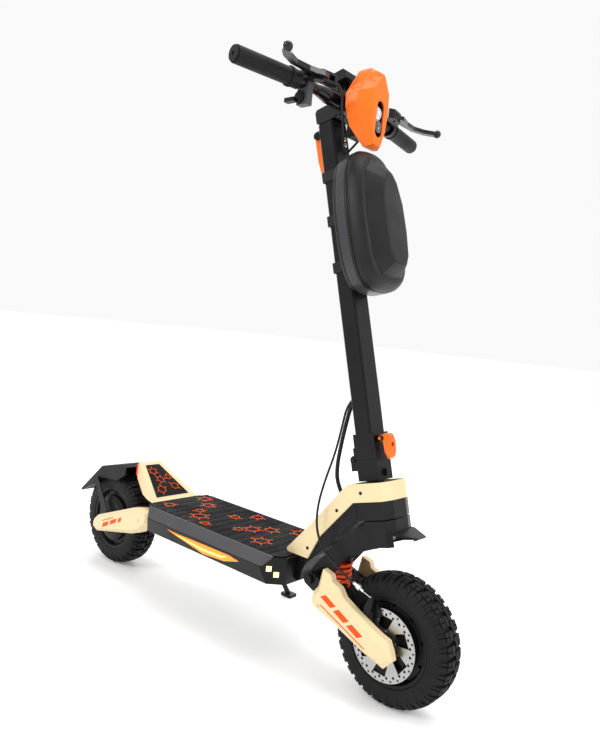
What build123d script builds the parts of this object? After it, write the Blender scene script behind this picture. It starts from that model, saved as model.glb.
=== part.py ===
from build123d import *
from math import atan2, cos, degrees, hypot, pi, radians, sin, tan
import os

# Electric kick scooter. X points forward, Y to the rider's left, Z up, in millimetres. The floor is
# Z = 0, and the origin is on the floor at the middle of the overall length.

# Wheels and overall length
WHEELBASE = 920.0
TYRE_R = 127.5
TYRE_HALF_W = 36.0
TYRE_CROWN_HALF = 15.0
REAR_OVERHANG = 147.5                     # from the rear axle back to the fender's lip
FRONT_X = (WHEELBASE + REAR_OVERHANG - TYRE_R) / 2
REAR_X = FRONT_X - WHEELBASE
RIM_R = 82.0
RIM_HALF_W = 31.5
BEAD_R = RIM_R + 0.8
BEAD_Y = 27.0
ROTOR_R = 70.0
ROTOR_Y = 47.0
ROTOR_T = 2.0
AXLE_R = 6.0
HUB_R = 62.0
HUB_HALF_W = 38.0
BEARING_R = 13.0

# Deck
DECK_TOP = 234.0
DECK_BOTTOM = 174.5
DECK_FRONT = 240.0
DECK_REAR = -222.0
DECK_HALF_W = 118.0
DECK_TOP_HALF_W = 101.4
DECK_FLOOR_HALF_W = 106.0
CORNER = 40.0
MAT_T = 3.0
LID_T = 4.0
RAIL_DROP = 22.0
RAIL_W = 4.0
WALL = 4.0
LIP = 1.9

# Steering axis, leaning back
RAKE = 16.0
HEAD_X = 384.0
HEAD_Z = 415.0
HEAD_BOTTOM = -67.0
HEAD_TOP = 4.0
COLLAR_BOTTOM = -32.0
STEERER_R = 14.0
HEAD_BORE_R = 20.0
HEAD_HALF_W = 47.0
RUN = 0.3                                 # gap between pieces that move past each other
FIT = 0.05                                # radial gap of a pin in its hole

# Stem, post and handlebar; heights along the steering axis, from the head point
FOLD_S = 50.0
FOLD_P = -30.0
FOLD_PIN_R = 4.0
TUBE_FOOT_S = 101.0
TUBE_TOP_S = 755.0
TUBE_DEPTH = 40.0
TUBE_WIDTH = 52.0
TUBE_WALL = 3.0
POST_FOOT_S = 480.0
POST_TOP_S = 766.0
BAR_P = 42.4
BAR_S = 783.0
BAR_R = 11.1
BAR_MID_R = 16.0
BAR_BEND_Y = 150.0
BAR_SWEEP = 9.8
BAR_OUTER = 151.0                         # from the bend to the bar's end, along the bar
GRIP_R = 16.5
GRIP_START = 24.0

# Front and rear swing arms
FRONT_PIVOT = (289.0, 200.0)
REAR_PIVOT = (-246.0, 190.0)
AXLE_Z = TYRE_R
PLATE_IN = 52.0
PLATE_T = 8.0
COVER_T = 24.0
COVER_WALL = 3.5
PIVOT_BOLT_R = 6.0
LEG_HALF_W = 32.0
LEG_SLOT_HALF = 21.5

# Kickstand on the left side
STAND_X = 12.0
STAND_Y = 92.0
STAND_Z = 158.0
STAND_FOOT_Y = 214.0
STAND_R = 7.0

HEAD = Plane(
    origin=(HEAD_X, 0, HEAD_Z),
    x_dir=(cos(radians(RAKE)), 0, sin(radians(RAKE))),
    z_dir=(-sin(radians(RAKE)), 0, cos(radians(RAKE))),
)
LOW = (Align.CENTER, Align.CENTER, Align.MIN)
parts = {}


def prism(points, y_low, y_high, taper=0.0):
    """A closed outline of (x, z) points, from y_low to y_high."""
    side = Plane(origin=(0, y_high, 0), x_dir=(1, 0, 0), z_dir=(0, -1, 0))
    face = side * make_face(Polyline(*points, close=True))
    return extrude(face, y_high - y_low, taper=taper)


def outline_face(*points):
    return make_face(Polyline(*points, close=True))


def block(x_low, x_high, y_low, y_high, z_low, z_high):
    centre = ((x_low + x_high) / 2, (y_low + y_high) / 2, (z_low + z_high) / 2)
    return Pos(*centre) * Box(x_high - x_low, y_high - y_low, z_high - z_low)


def rod(start, direction, radius, length):
    return Plane(origin=start, z_dir=direction) * Cylinder(radius, length, align=LOW)


def cross_rod(x, z, radius, y_low, y_high):
    """A cylinder along Y."""
    return rod((x, y_low, z), (0, 1, 0), radius, y_high - y_low)


def spin_y(x, z, profile):
    """A ring about the line along Y through (x, z). The profile is (radius, y) points."""
    face = make_face(Polyline(*[(r, 0, y) for r, y in profile], close=True))
    turned = revolve(face, axis=Axis.Z)
    return Plane(origin=(x, 0, z), x_dir=(1, 0, 0), z_dir=(0, 1, 0)) * turned


def other_side(shape):
    return mirror(shape, about=Plane.XZ)


def link(a, b, radius_a, radius_b, y_low, y_high):
    """A flat plate whose outline wraps a circle at each end."""
    angle = degrees(atan2(b[1] - a[1], b[0] - a[0]))
    length = hypot(b[0] - a[0], b[1] - a[1])
    tilt = degrees(atan2(radius_a - radius_b, length))
    flat = Plane(origin=(a[0], y_high, a[1]), x_dir=(cos(radians(angle)), 0, sin(radians(angle))), z_dir=(0, -1, 0))
    side_a = (radius_a * sin(radians(tilt)), radius_a * cos(radians(tilt)))
    side_b = (length + radius_b * sin(radians(tilt)), radius_b * cos(radians(tilt)))
    belly = outline_face(side_a, side_b, (side_b[0], -side_b[1]), (side_a[0], -side_a[1]))
    outline = Circle(radius_a) + Pos(length, 0) * Circle(radius_b) + belly
    return extrude(flat * outline, y_high - y_low)


def head_block(p_low, p_high, half_w, s_low, s_high):
    """A box in the steering frame, evenly about the middle plane."""
    return HEAD * block(p_low, p_high, -half_w, half_w, s_low, s_high)


def head_point(p, q, s):
    return HEAD.from_local_coords(Vector(p, q, s))


def head_xz(p, s):
    """The (x, z) place of a point of the steering frame's middle plane."""
    place = head_point(p, 0, s)
    return (place.X, place.Z)


def keep(name, *shapes):
    solids = []
    for shape in shapes:
        solids += list(shape.solids())
    parts[name] = solids


# ---- Wheels ----

def tyre(x):
    crown = TYRE_R
    profile = [
        (BEAD_R, -BEAD_Y), (BEAD_R + 6, -BEAD_Y), (96, -TYRE_HALF_W), (108, -TYRE_HALF_W), (118, -31),
        (crown - 2.5, -23), (crown, -TYRE_CROWN_HALF), (crown, TYRE_CROWN_HALF), (crown - 2.5, 23),
        (118, 31), (108, TYRE_HALF_W), (96, TYRE_HALF_W), (BEAD_R + 6, BEAD_Y), (BEAD_R, BEAD_Y),
        (BEAD_R, 19), (108, 26), (116, 0), (108, -26), (BEAD_R, -19),
    ]
    return spin_y(x, AXLE_Z, profile)


def rim(x):
    """The rim and the hub shell in one casting, hollow for the motor."""
    outer = [
        (24, -HUB_HALF_W), (50, -HUB_HALF_W), (HUB_R, -33), (HUB_R + 2, -24), (74, -22), (RIM_R - 3, -RIM_HALF_W),
        (RIM_R + 6, -RIM_HALF_W), (RIM_R + 6, -BEAD_Y - 0.5), (RIM_R + 0.5, -BEAD_Y - 0.5),
        (RIM_R + 0.5, BEAD_Y + 0.5), (RIM_R + 6, BEAD_Y + 0.5), (RIM_R + 6, RIM_HALF_W), (RIM_R - 3, RIM_HALF_W), (74, 22),
        (HUB_R + 2, 24), (HUB_R, 33), (50, HUB_HALF_W), (24, HUB_HALF_W), (BEARING_R + FIT, HUB_HALF_W), (BEARING_R + FIT, 31),
        (HUB_R - 8, 29), (HUB_R - 4, 22), (HUB_R - 4, -22), (HUB_R - 8, -29), (BEARING_R + FIT, -31),
        (BEARING_R + FIT, -HUB_HALF_W),
    ]
    shell = spin_y(x, AXLE_Z, outer)
    pocket = spin_y(x, AXLE_Z, [(RIM_R - 3, 9), (RIM_R + 2, 9), (RIM_R + 2, -9), (RIM_R - 3, -9)])
    ring = shell - pocket
    for turn in range(10):
        place = Plane(origin=(x, 0, AXLE_Z), z_dir=(0, 1, 0)) * Rot(0, 0, turn * 36) * Pos(72, 0, 0)
        ring -= place * Cylinder(3.5, 60)
    return ring


def rotor(x, side):
    disc = Cylinder(ROTOR_R, ROTOR_T) - Cylinder(20, ROTOR_T)
    for turn in range(6):
        window = outline_face((27, 4), (55, 16), (57, -12), (36, -15))
        disc -= extrude(Rot(0, 0, turn * 60) * window, ROTOR_T, both=True)
    for turn in range(24):
        disc -= Rot(0, 0, turn * 15) * Pos(60, 0) * Cylinder(2.6, ROTOR_T)
        disc -= Rot(0, 0, turn * 15 + 7.5) * Pos(66, 0) * Cylinder(2.1, ROTOR_T)
    gap = ROTOR_Y - ROTOR_T / 2 - HUB_HALF_W
    spacer = Cylinder(29, gap) - Cylinder(15, gap)
    disc_at = Plane(origin=(x, side * ROTOR_Y, AXLE_Z), z_dir=(0, 1, 0)) * disc
    spacer_at = Plane(origin=(x, side * (HUB_HALF_W + gap / 2), AXLE_Z), z_dir=(0, 1, 0)) * spacer
    return disc_at + spacer_at


def axle(x):
    shaft = cross_rod(x, AXLE_Z, AXLE_R, -72, 72)
    nuts = []
    for side in (-1, 1):
        nut = extrude(RegularPolygon(9.5, 6), 7) - Cylinder(AXLE_R, 30)
        nuts.append(Plane(origin=(x, side * (PLATE_IN + PLATE_T), AXLE_Z), z_dir=(0, side, 0)) * nut)
    return [shaft] + nuts


def stator(x):
    return spin_y(x, AXLE_Z, [(AXLE_R, -16), (HUB_R - 6, -16), (HUB_R - 6, 16), (AXLE_R, 16)])


def bearings(x):
    ring = [(AXLE_R, 31), (BEARING_R, 31), (BEARING_R, 37), (AXLE_R, 37)]
    near = spin_y(x, AXLE_Z, ring)
    return [near, other_side(near)]


for wheel, centre_x, rotor_side in (("front", FRONT_X, -1), ("rear", REAR_X, 1)):
    keep(wheel + "_tyre", tyre(centre_x))
    keep(wheel + "_rim", rim(centre_x))
    keep(wheel + "_rotor", rotor(centre_x, rotor_side))
    keep(wheel + "_axle_and_stator", *axle(centre_x), stator(centre_x), *bearings(centre_x))


# ---- Swing arms ----

PLATE_OUT = PLATE_IN + PLATE_T
COVER_OUT = PLATE_OUT + COVER_T


CALIPER_ANGLE = 118.0
CALIPER_INNER_R = 50.0
CALIPER_OUTER_R = 78.0
CALIPER_PIVOT_R = 70.0
CALIPER_HALF_L = 19.0
CALIPER_CLEAR = 1.5


def caliper_at(axle_x, radius):
    turn = radians(CALIPER_ANGLE if axle_x > 0 else 180 - CALIPER_ANGLE)
    return (axle_x + radius * cos(turn), AXLE_Z + radius * sin(turn))


def swing_arm(pivot, axle_x, bar_at, spring_seat, boss_in, brake_side):
    """Two plates from the pivot to the axle, joined by a cross bar that carries the spring's seat."""
    near = link(pivot, (axle_x, AXLE_Z), 15, 17, -PLATE_OUT, -PLATE_IN)
    near += cross_rod(*pivot, 12, -PLATE_IN, -boss_in)
    near -= cross_rod(*pivot, PIVOT_BOLT_R + FIT, -PLATE_OUT, -boss_in)
    near -= cross_rod(axle_x, AXLE_Z, AXLE_R, -PLATE_OUT, -PLATE_IN)
    arm = near + other_side(near) + cross_rod(*bar_at, 9, -PLATE_IN - 1, PLATE_IN + 1)
    seat_x, seat_z = spring_seat
    arm += rod((seat_x, 0, seat_z - 8), (0, 0, 1), 20, 8)
    ear_x, ear_z = caliper_at(axle_x, CALIPER_PIVOT_R)
    ear = link((ear_x, ear_z), (ear_x, AXLE_Z + 20), 10, 12, -PLATE_OUT, -PLATE_IN)
    arm += ear if brake_side < 0 else other_side(ear)
    return arm


FRONT_BAR = (326.0, 172.0)
REAR_BAR = (-288.0, 160.0)
FRONT_SEAT = (326.0, 184.0)
REAR_SEAT = (-288.0, 172.0)
keep("front_swing_arm", swing_arm(FRONT_PIVOT, FRONT_X, FRONT_BAR, FRONT_SEAT, LEG_HALF_W + RUN, -1))
keep("rear_swing_arm", swing_arm(REAR_PIVOT, REAR_X, REAR_BAR, REAR_SEAT, LEG_HALF_W + RUN, 1))


def arm_cover(outline, screw_at):
    """A faceted shell over the outside of an arm plate: bevelled edges, and hollow behind."""
    body = prism(outline, -PLATE_OUT - 14, -PLATE_OUT)
    bevel = prism(outline, -COVER_OUT, -PLATE_OUT - 14, taper=44)
    hollow = offset(make_face(Polyline(*[(x, z) for x, z in outline], close=True)), -COVER_WALL)
    side = Plane(origin=(0, -PLATE_OUT, 0), x_dir=(1, 0, 0), z_dir=(0, -1, 0))
    cover = body + bevel - extrude(side * hollow, 13)
    for x, z in screw_at:
        cover -= cross_rod(x, z, 3.2, -COVER_OUT - 1, -COVER_OUT + 2)
    return cover


FRONT_COVER = [
    (331, 237), (352, 231), (357, 219), (375, 213), (388, 197), (413, 184), (459, 164), (476, 157), (494, 152),
    (503, 136), (509, 119), (491, 99), (446, 111), (409, 125), (370, 140), (314, 158), (309, 170), (313, 186),
    (324, 200),
]
REAR_COVER = [
    (-258, 210), (-300, 200), (-455, 141), (-472, 126), (-472, 104), (-456, 96), (-300, 131), (-258, 146),
    (-230, 172), (-227, 190), (-233, 206),
]
front_cover = arm_cover(FRONT_COVER, [(336, 166), (478, 112)])
rear_cover = arm_cover(REAR_COVER, [(-262, 178), (-455, 108)])
keep("front_arm_covers", front_cover, other_side(front_cover))
keep("rear_arm_covers", rear_cover, other_side(rear_cover))


def pivot_bolt(pivot):
    shaft = cross_rod(*pivot, PIVOT_BOLT_R, -PLATE_OUT - 1, PLATE_OUT + 1)
    head = cross_rod(*pivot, 9.5, -PLATE_OUT - 7, -PLATE_OUT - RUN)
    return shaft + head + other_side(head)


keep("front_pivot_bolt", pivot_bolt(FRONT_PIVOT))
keep("rear_pivot_bolt", pivot_bolt(REAR_PIVOT))


def coil(x, z_low, z_high, radius, wire, turns):
    height = z_high - z_low - 2 * wire
    path = Helix(pitch=height / turns, height=height, radius=radius)
    start = path ^ 0
    wound = sweep(Plane(start.position, z_dir=path % 0) * Circle(wire), path=path)
    return Pos(x, 0, z_low + wire) * wound


SPRING_GAP = 0.6
keep("front_spring", coil(FRONT_SEAT[0], FRONT_SEAT[1] + SPRING_GAP, 243 - SPRING_GAP, 17, 3.4, 4.5))
keep("rear_spring", coil(REAR_SEAT[0], REAR_SEAT[1] + SPRING_GAP, 226 - SPRING_GAP, 16, 3.4, 4.5))


# ---- Brakes ----

def caliper(axle_x, side):
    """A cable caliper that straddles the rotor, bolted to the inside of the arm's ear."""
    centre = caliper_at(axle_x, 1)
    radial = (centre[0] - axle_x, 0, centre[1] - AXLE_Z)
    upright = Plane(origin=(axle_x, 0, AXLE_Z), x_dir=radial, z_dir=(0, -1, 0))
    low_y = HUB_HALF_W + CALIPER_CLEAR
    body = block(CALIPER_INNER_R, CALIPER_OUTER_R, -CALIPER_HALF_L, CALIPER_HALF_L, low_y, PLATE_IN)
    body = fillet(body.edges().filter_by(Axis.Z), 6)
    slot_half = ROTOR_T / 2 + 0.5
    body -= block(0, ROTOR_R + 3, -40, 40, ROTOR_Y - slot_half, ROTOR_Y + slot_half)
    placed = upright * body
    return placed if side < 0 else other_side(placed)


def caliper_arm(axle_x, side, reach_x, reach_z):
    """The lever that the brake cable pulls, pivoted on the outside of the arm's ear."""
    pivot = caliper_at(axle_x, CALIPER_PIVOT_R)
    tip = (pivot[0] + reach_x, pivot[1] + reach_z)
    arm = link(pivot, tip, 8, 5, -PLATE_OUT - RUN - 4, -PLATE_OUT - RUN)
    arm -= cross_rod(*tip, 1.6, -PLATE_OUT - 9, -PLATE_OUT)
    return arm if side < 0 else other_side(arm)


keep("front_caliper", caliper(FRONT_X, -1))
keep("rear_caliper", caliper(REAR_X, 1))
keep("front_caliper_arm", caliper_arm(FRONT_X, -1, 6, 26))
keep("rear_caliper_arm", caliper_arm(REAR_X, 1, -6, 26))


# ---- Deck ----

def deck_section(points):
    """A section in Y and Z, given for the left half, mirrored and run along the deck."""
    left = [(y, z) for y, z in points]
    outline = left + [(-y, z) for y, z in reversed(left)]
    face = Plane(origin=(DECK_REAR, 0, 0), x_dir=(0, 1, 0), z_dir=(1, 0, 0)) * make_face(Polyline(*outline, close=True))
    return extrude(face, DECK_FRONT - DECK_REAR)


def deck_plan(inset):
    """The deck's outline from above, with its corners cut off, as a tall block."""
    front = DECK_FRONT - inset
    rear = DECK_REAR + inset
    side = DECK_HALF_W - inset
    cut = CORNER - 0.6 * inset
    outline = [
        (rear, -side + cut), (rear + cut, -side), (front - cut, -side), (front, -side + cut),
        (front, side - cut), (front - cut, side), (rear + cut, side), (rear, side - cut),
    ]
    face = Plane.XY.offset(DECK_BOTTOM - 10) * make_face(Polyline(*outline, close=True))
    return extrude(face, DECK_TOP - DECK_BOTTOM + 20)


LID_HALF_W = DECK_TOP_HALF_W - LIP
LID_Z = DECK_TOP - MAT_T
SHELL_Z = LID_Z - LID_T
RAIL_Z = DECK_TOP - RAIL_DROP
rail_slope = (DECK_HALF_W - RAIL_W - LID_HALF_W) / (LID_Z - RAIL_Z)
SHELL_TOP_HALF_W = LID_HALF_W + rail_slope * LID_T
shell_section = [
    (SHELL_TOP_HALF_W, SHELL_Z), (DECK_HALF_W - RAIL_W, RAIL_Z), (DECK_HALF_W, RAIL_Z),
    (DECK_HALF_W, RAIL_Z - 3), (DECK_FLOOR_HALF_W, DECK_BOTTOM),
]
shell = deck_section(shell_section) & deck_plan(0)
cavity_half_w = LID_HALF_W - 7
cavity = block(DECK_REAR + 14, DECK_FRONT - 14, -cavity_half_w, cavity_half_w, DECK_BOTTOM + WALL, SHELL_Z + 1)
shell -= fillet(cavity.edges().filter_by(Axis.Z), 24)

# The side lights are shallow chevrons let into the sloping side walls.
LIGHT_T = 3.0
LIGHT_SET = 1.6
LIGHT = [(-104, 204), (-66, 203), (14, 205), (109, 206), (137, 201), (88, 186), (18, 180)]
wall_lean = degrees(atan2(DECK_HALF_W - DECK_FLOOR_HALF_W, RAIL_Z - 3 - DECK_BOTTOM))
wall_cos = cos(radians(wall_lean))
wall_plane = Plane(
    origin=(0, -DECK_HALF_W, RAIL_Z - 3),
    x_dir=(1, 0, 0),
    z_dir=(0, -wall_cos, -sin(radians(wall_lean))),
)
light_outline = Polyline(*[(x, (z - RAIL_Z + 3) / wall_cos) for x, z in LIGHT], close=True)
side_light = extrude(wall_plane.offset(-LIGHT_SET) * make_face(light_outline), LIGHT_T)
shell -= side_light
shell -= other_side(side_light)

# The charging socket is in the left wall, near the front.
PORT_X = 178.0
PORT_Z = 195.0
PORT_R = 9.0
shell -= rod((PORT_X, DECK_HALF_W + 5, PORT_Z), (0, -1, 0), PORT_R, 50)

rail_section = [
    (LID_HALF_W, DECK_TOP), (DECK_TOP_HALF_W, DECK_TOP), (DECK_HALF_W, RAIL_Z),
    (DECK_HALF_W - RAIL_W, RAIL_Z), (LID_HALF_W, LID_Z),
]
left_rail_face = Plane(origin=(DECK_REAR, 0, 0), x_dir=(0, 1, 0), z_dir=(1, 0, 0)) * make_face(
    Polyline(*rail_section, close=True)
)
rail = extrude(left_rail_face, DECK_FRONT - DECK_REAR) & deck_plan(0)

# Two small square lamps sit in a facet at each corner of the deck.
LAMP = 12.0
LAMP_T = 2.0
lamps = []
lamp_seats = []
for end, corner_x in ((1, DECK_FRONT - CORNER / 2), (-1, DECK_REAR + CORNER / 2)):
    for step, along in enumerate((-8.5, 8.5)):
        facet = Plane(
            origin=(corner_x, -DECK_HALF_W + CORNER / 2, RAIL_Z - 11),
            x_dir=(1, -end * -1, 0),
            z_dir=(end, -1, 0),
        )
        lamp = facet * Pos(along, 6 - 12 * step if end > 0 else 12 * step - 6, -LAMP_T + 0.6) * Box(LAMP, LAMP, LAMP_T)
        lamps += [lamp, other_side(lamp)]
for lamp in lamps:
    shell -= lamp
keep("side_rails", rail, other_side(rail))
keep("deck_lights", side_light, other_side(side_light), *lamps)

lid = block(DECK_REAR, DECK_FRONT, -LID_HALF_W, LID_HALF_W, SHELL_Z, LID_Z) & deck_plan(0)
mat = block(DECK_REAR + 3, DECK_FRONT - 6, -LID_HALF_W + 1, LID_HALF_W - 1, LID_Z, DECK_TOP) & deck_plan(3)
mat -= block(206, DECK_FRONT, -50, 50, LID_Z, DECK_TOP)
lid = lid & (deck_section([(LID_HALF_W, DECK_TOP), (LID_HALF_W, DECK_BOTTOM)]))
screws = []
for x in (DECK_REAR + 30, 0, DECK_FRONT - 30):
    for y in (-cavity_half_w - 3.2, cavity_half_w + 3.2):
        screws.append(Pos(x, y, SHELL_Z - 10) * Cylinder(2, 10 + LID_T - 0.2, align=LOW))
for screw in screws:
    lid -= screw
    shell -= screw
keep("deck_lid", lid)

floor_z = DECK_BOTTOM + WALL
battery = block(-150, 130, -72, 72, floor_z, SHELL_Z - 4)
battery = fillet(battery.edges().filter_by(Axis.X), 6)
keep("battery_and_controllers", battery, block(142, 212, -72, -8, floor_z, floor_z + 26), block(142, 212, 8, 72, floor_z, floor_z + 26))
port = rod((PORT_X, DECK_HALF_W - 1.5, PORT_Z), (0, -1, 0), PORT_R, 24) - rod(
    (PORT_X, DECK_HALF_W, PORT_Z), (0, -1, 0), PORT_R - 3, 14
)
CAP_T = 3.5
cap = rod((PORT_X, DECK_HALF_W + RUN + CAP_T, PORT_Z), (0, -1, 0), PORT_R + 3, CAP_T)
cap += rod((PORT_X, DECK_HALF_W + 2, PORT_Z), (0, -1, 0), PORT_R - 2, 3.2)
cap += block(PORT_X - 5, PORT_X + 5, DECK_HALF_W + RUN, DECK_HALF_W + RUN + CAP_T, PORT_Z + 8, PORT_Z + 15)
cap_pin = Pos(PORT_X - 5, DECK_HALF_W + RUN + 2, PORT_Z + 16.5) * Rot(0, 90, 0) * Cylinder(1.7, 10, align=LOW)
keep("charging_cap", cap + cap_pin)


# ---- Neck ----

NECK_HALF_W = 43.0
COVER_HALF_W = 48.0
COVER_GAP = 0.3
slit_low = (285.0, 243.6)
slit_high = head_xz(-30, HEAD_BOTTOM)
head_plan = [(-20, 47), (40, 47), (50, 22), (50, -22), (40, -47), (-20, -47)]


def plan_prism(points, s_low, s_high, taper=0.0):
    """An outline of (p, q) points about the steering axis, from s_low to s_high."""
    face = HEAD.offset(s_low) * make_face(Polyline(*points, close=True))
    return extrude(face, s_high - s_low, taper=taper)


def steer_rod(radius, s_low, s_high):
    return HEAD * Pos(0, 0, s_low) * Cylinder(radius, s_high - s_low, align=LOW)


neck = prism(
    [
        (DECK_FRONT, 178), (DECK_FRONT, DECK_TOP), (222, DECK_TOP), (222, 243), (260, 291), (349.5, 402),
        head_xz(-24, -3), head_xz(-24, HEAD_BOTTOM), slit_high, slit_low, (262, 222), (252, 200), (250, 182),
    ],
    -NECK_HALF_W, NECK_HALF_W,
)
head = plan_prism(head_plan, HEAD_BOTTOM, COLLAR_BOTTOM - COVER_GAP)
head += steer_rod(30, COLLAR_BOTTOM - 1, -2)
neck_frame = neck + head - steer_rod(HEAD_BORE_R, HEAD_BOTTOM - 5, 30)

cover_top = [(210, 241), (256, 294), (348, 409), head_xz(-36, HEAD_TOP), head_xz(-20, HEAD_TOP)]
cover_foot = [
    head_xz(-20, COLLAR_BOTTOM), head_xz(-28, COLLAR_BOTTOM), (294, 289), (268, DECK_TOP + 0.3),
    (212, DECK_TOP + 0.3),
]
cover_side = cover_top + cover_foot
collar_plan = [(-21, 48), (41, 48), (52, 23), (52, -23), (41, -48), (-21, -48)]
collar_inner = [(-30, 44), (39, 44), (48, 21), (48, -21), (39, -44), (-30, -44)]
cover = prism(cover_side, -COVER_HALF_W, COVER_HALF_W) + plan_prism(collar_plan, COLLAR_BOTTOM, HEAD_TOP)
inside = [(x + 3.5, z - 3) for x, z in cover_top[:3]] + [head_xz(-34, -0.4), head_xz(-20, -0.4)]
inside += [head_xz(-20, -90), head_xz(-60, -90), (280, 200), (200, 200), (200, 235)]
neck_hollow = prism(inside, -NECK_HALF_W - COVER_GAP, NECK_HALF_W + COVER_GAP)
cover -= neck_hollow
cover -= plan_prism(collar_inner, COLLAR_BOTTOM - 1, HEAD_TOP + 1)
cover_screws = []
for x, z in ((266, 256), (330, 352), head_xz(-6, -14)):
    if x > 360:
        screw = cross_rod(x, z, 3.4, -COVER_HALF_W - 0.8, -COVER_HALF_W + 5)
    else:
        screw = cross_rod(x, z, 3.4, -COVER_HALF_W - 0.8, -NECK_HALF_W + 4)
        neck_frame -= screw
        neck_frame -= other_side(screw)
    cover -= screw
    cover -= other_side(screw)
    cover_screws += [screw, other_side(screw)]
keep("neck_frame", neck_frame)
keep("neck_cover", cover)
keep("body_screws", *screws, *cover_screws)


def headset(s_low):
    return HEAD * Pos(0, 0, s_low) * (
        Cylinder(HEAD_BORE_R, 10, align=LOW) - Cylinder(STEERER_R + FIT, 10, align=LOW)
    )


keep("headset_bearings", headset(HEAD_BOTTOM), headset(-12))


# ---- Rear of the deck ----

KICK_BASE_HALF = 74.0
KICK_TOP_HALF = 34.0
KICK = [(-228, DECK_TOP), (-345, 307), (-353, 301), (-353, 262), (-300, 232), (-262, 229), (-222, 231)]
kick = prism(KICK, -KICK_BASE_HALF, KICK_BASE_HALF)
lean = (KICK_BASE_HALF - KICK_TOP_HALF) / (345 - 228)
for side in (-1, 1):
    trim = outline_face(
        (-226, side * KICK_BASE_HALF), (-400, side * (KICK_BASE_HALF - lean * 174)), (-400, side * 200),
        (-226, side * 200),
    )
    kick -= extrude(Plane.XY.offset(200) * trim, 150)
inner_kick = prism([(-240, 229), (-343, 298), (-348, 292), (-348, 262), (-300, 226), (-262, 224)], -28, 28)
kick -= inner_kick
grip_t = 2.0
ramp_angle = degrees(atan2(307 - DECK_TOP, 345 - 228))
ramp = Plane(
    origin=(-228, 0, DECK_TOP),
    x_dir=(-cos(radians(ramp_angle)), 0, sin(radians(ramp_angle))),
    z_dir=(sin(radians(ramp_angle)), 0, cos(radians(ramp_angle))),
)
grip_face = outline_face((10, -52), (124, -22), (124, 22), (10, 52))
kick_grip = extrude(ramp.offset(-grip_t / 2) * grip_face, grip_t)
kick -= kick_grip
keep("kickplate", kick)
keep("deck_mats", mat, kick_grip)

tail = block(-366, -353, -26, 26, 264, 300)
tail = chamfer(tail.edges().filter_by(Axis.Y).group_by(Axis.X)[0], 6)
keep("tail_light", tail)

pivot_lugs = prism([(DECK_REAR, 180), (DECK_REAR, 226), (-262, 229), (-304, 232), (-304, 227),
                    (-266, 227), (-262, 208), (-262, 180)], -LEG_HALF_W, LEG_HALF_W)
pivot_lugs += rod((REAR_SEAT[0], 0, 226), (0, 0, 1), 19, 5)
pivot_lugs -= cross_rod(*REAR_PIVOT, PIVOT_BOLT_R + FIT, -60, 60)


FENDER_HALF_W = 45.0
FENDER_T = 4.0
LIP_X = REAR_X - REAR_OVERHANG
fender_top = [(-388, 284), (-400, 291), (-500, 266), (LIP_X, 178)]
fender_low = [(LIP_X + 6, 174), (-524, 212), (-490, 234), (-426, 240), (-390, 262)]
fender = prism(fender_top + fender_low, -FENDER_HALF_W, FENDER_HALF_W)
under = [(-380, 281), (-399, 286.5), (-498, 262), (LIP_X + 3, 173), (LIP_X + 20, 100), (-300, 100)]
fender -= prism(under, -FENDER_HALF_W + FENDER_T, FENDER_HALF_W - FENDER_T)
STAY_TOP = (-512.0, 224.0)
stay = link((REAR_X, AXLE_Z), STAY_TOP, 14, 9, -PLATE_IN, -PLATE_IN + 3)
stay -= cross_rod(REAR_X, AXLE_Z, AXLE_R, -60, -40)
stay += cross_rod(*STAY_TOP, 8, -PLATE_IN, -FENDER_HALF_W + 1)
keep("rear_fender", fender + stay + other_side(stay))


# ---- Fork ----

SLIT = 8.0
slit_turn = atan2(slit_high[1] - slit_low[1], slit_high[0] - slit_low[0])
leg_low = (slit_low[0] + SLIT * sin(slit_turn), slit_low[1] - SLIT * cos(slit_turn))
leg_high = (slit_high[0] + SLIT * sin(slit_turn), slit_high[1] - SLIT * cos(slit_turn))
LEG_TOP_Z = 243.0
CROWN_TOP = HEAD_BOTTOM - 1.2
leg = prism(
    [
        leg_high, leg_low, (272, 212), (272, 192), (284, 185), (302, 187), (313, 206), (352, 258), (398, 288),
        (425, 307), head_xz(24, -104), head_xz(24, CROWN_TOP), head_xz(-14, CROWN_TOP),
    ],
    -LEG_HALF_W, LEG_HALF_W,
)
leg -= block(298, 353, -LEG_SLOT_HALF, LEG_SLOT_HALF, 150, LEG_TOP_Z)
leg -= block(260, 300, -LEG_SLOT_HALF, LEG_SLOT_HALF, 150, 226)
leg += rod((FRONT_SEAT[0], 0, LEG_TOP_Z), (0, 0, 1), 20, 16)
fork = leg + steer_rod(26, -100, CROWN_TOP) + steer_rod(STEERER_R, CROWN_TOP - 1, 12)
fork -= cross_rod(*FRONT_PIVOT, PIVOT_BOLT_R + FIT, -60, 60)

SHROUD_BOTTOM = -93.0
shroud_plan = [(-8, 47), (40, 47), (50, 22), (50, -22), (40, -47), (-8, -47)]
shroud = plan_prism(shroud_plan, SHROUD_BOTTOM, CROWN_TOP - 1)
shroud -= plan_prism([(-9, 43), (38, 43), (46, 20), (46, -20), (38, -43), (-9, -43)], SHROUD_BOTTOM - 1, CROWN_TOP - 5)
shroud -= fork
cheek = prism([(378, 331), (335, 286), (308, 258), (320, 247), (352, 262), (384, 274), (398, 292),
               head_xz(4, -91), head_xz(4, -74)], -44, -LEG_HALF_W)
shroud += cheek + other_side(cheek)

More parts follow.
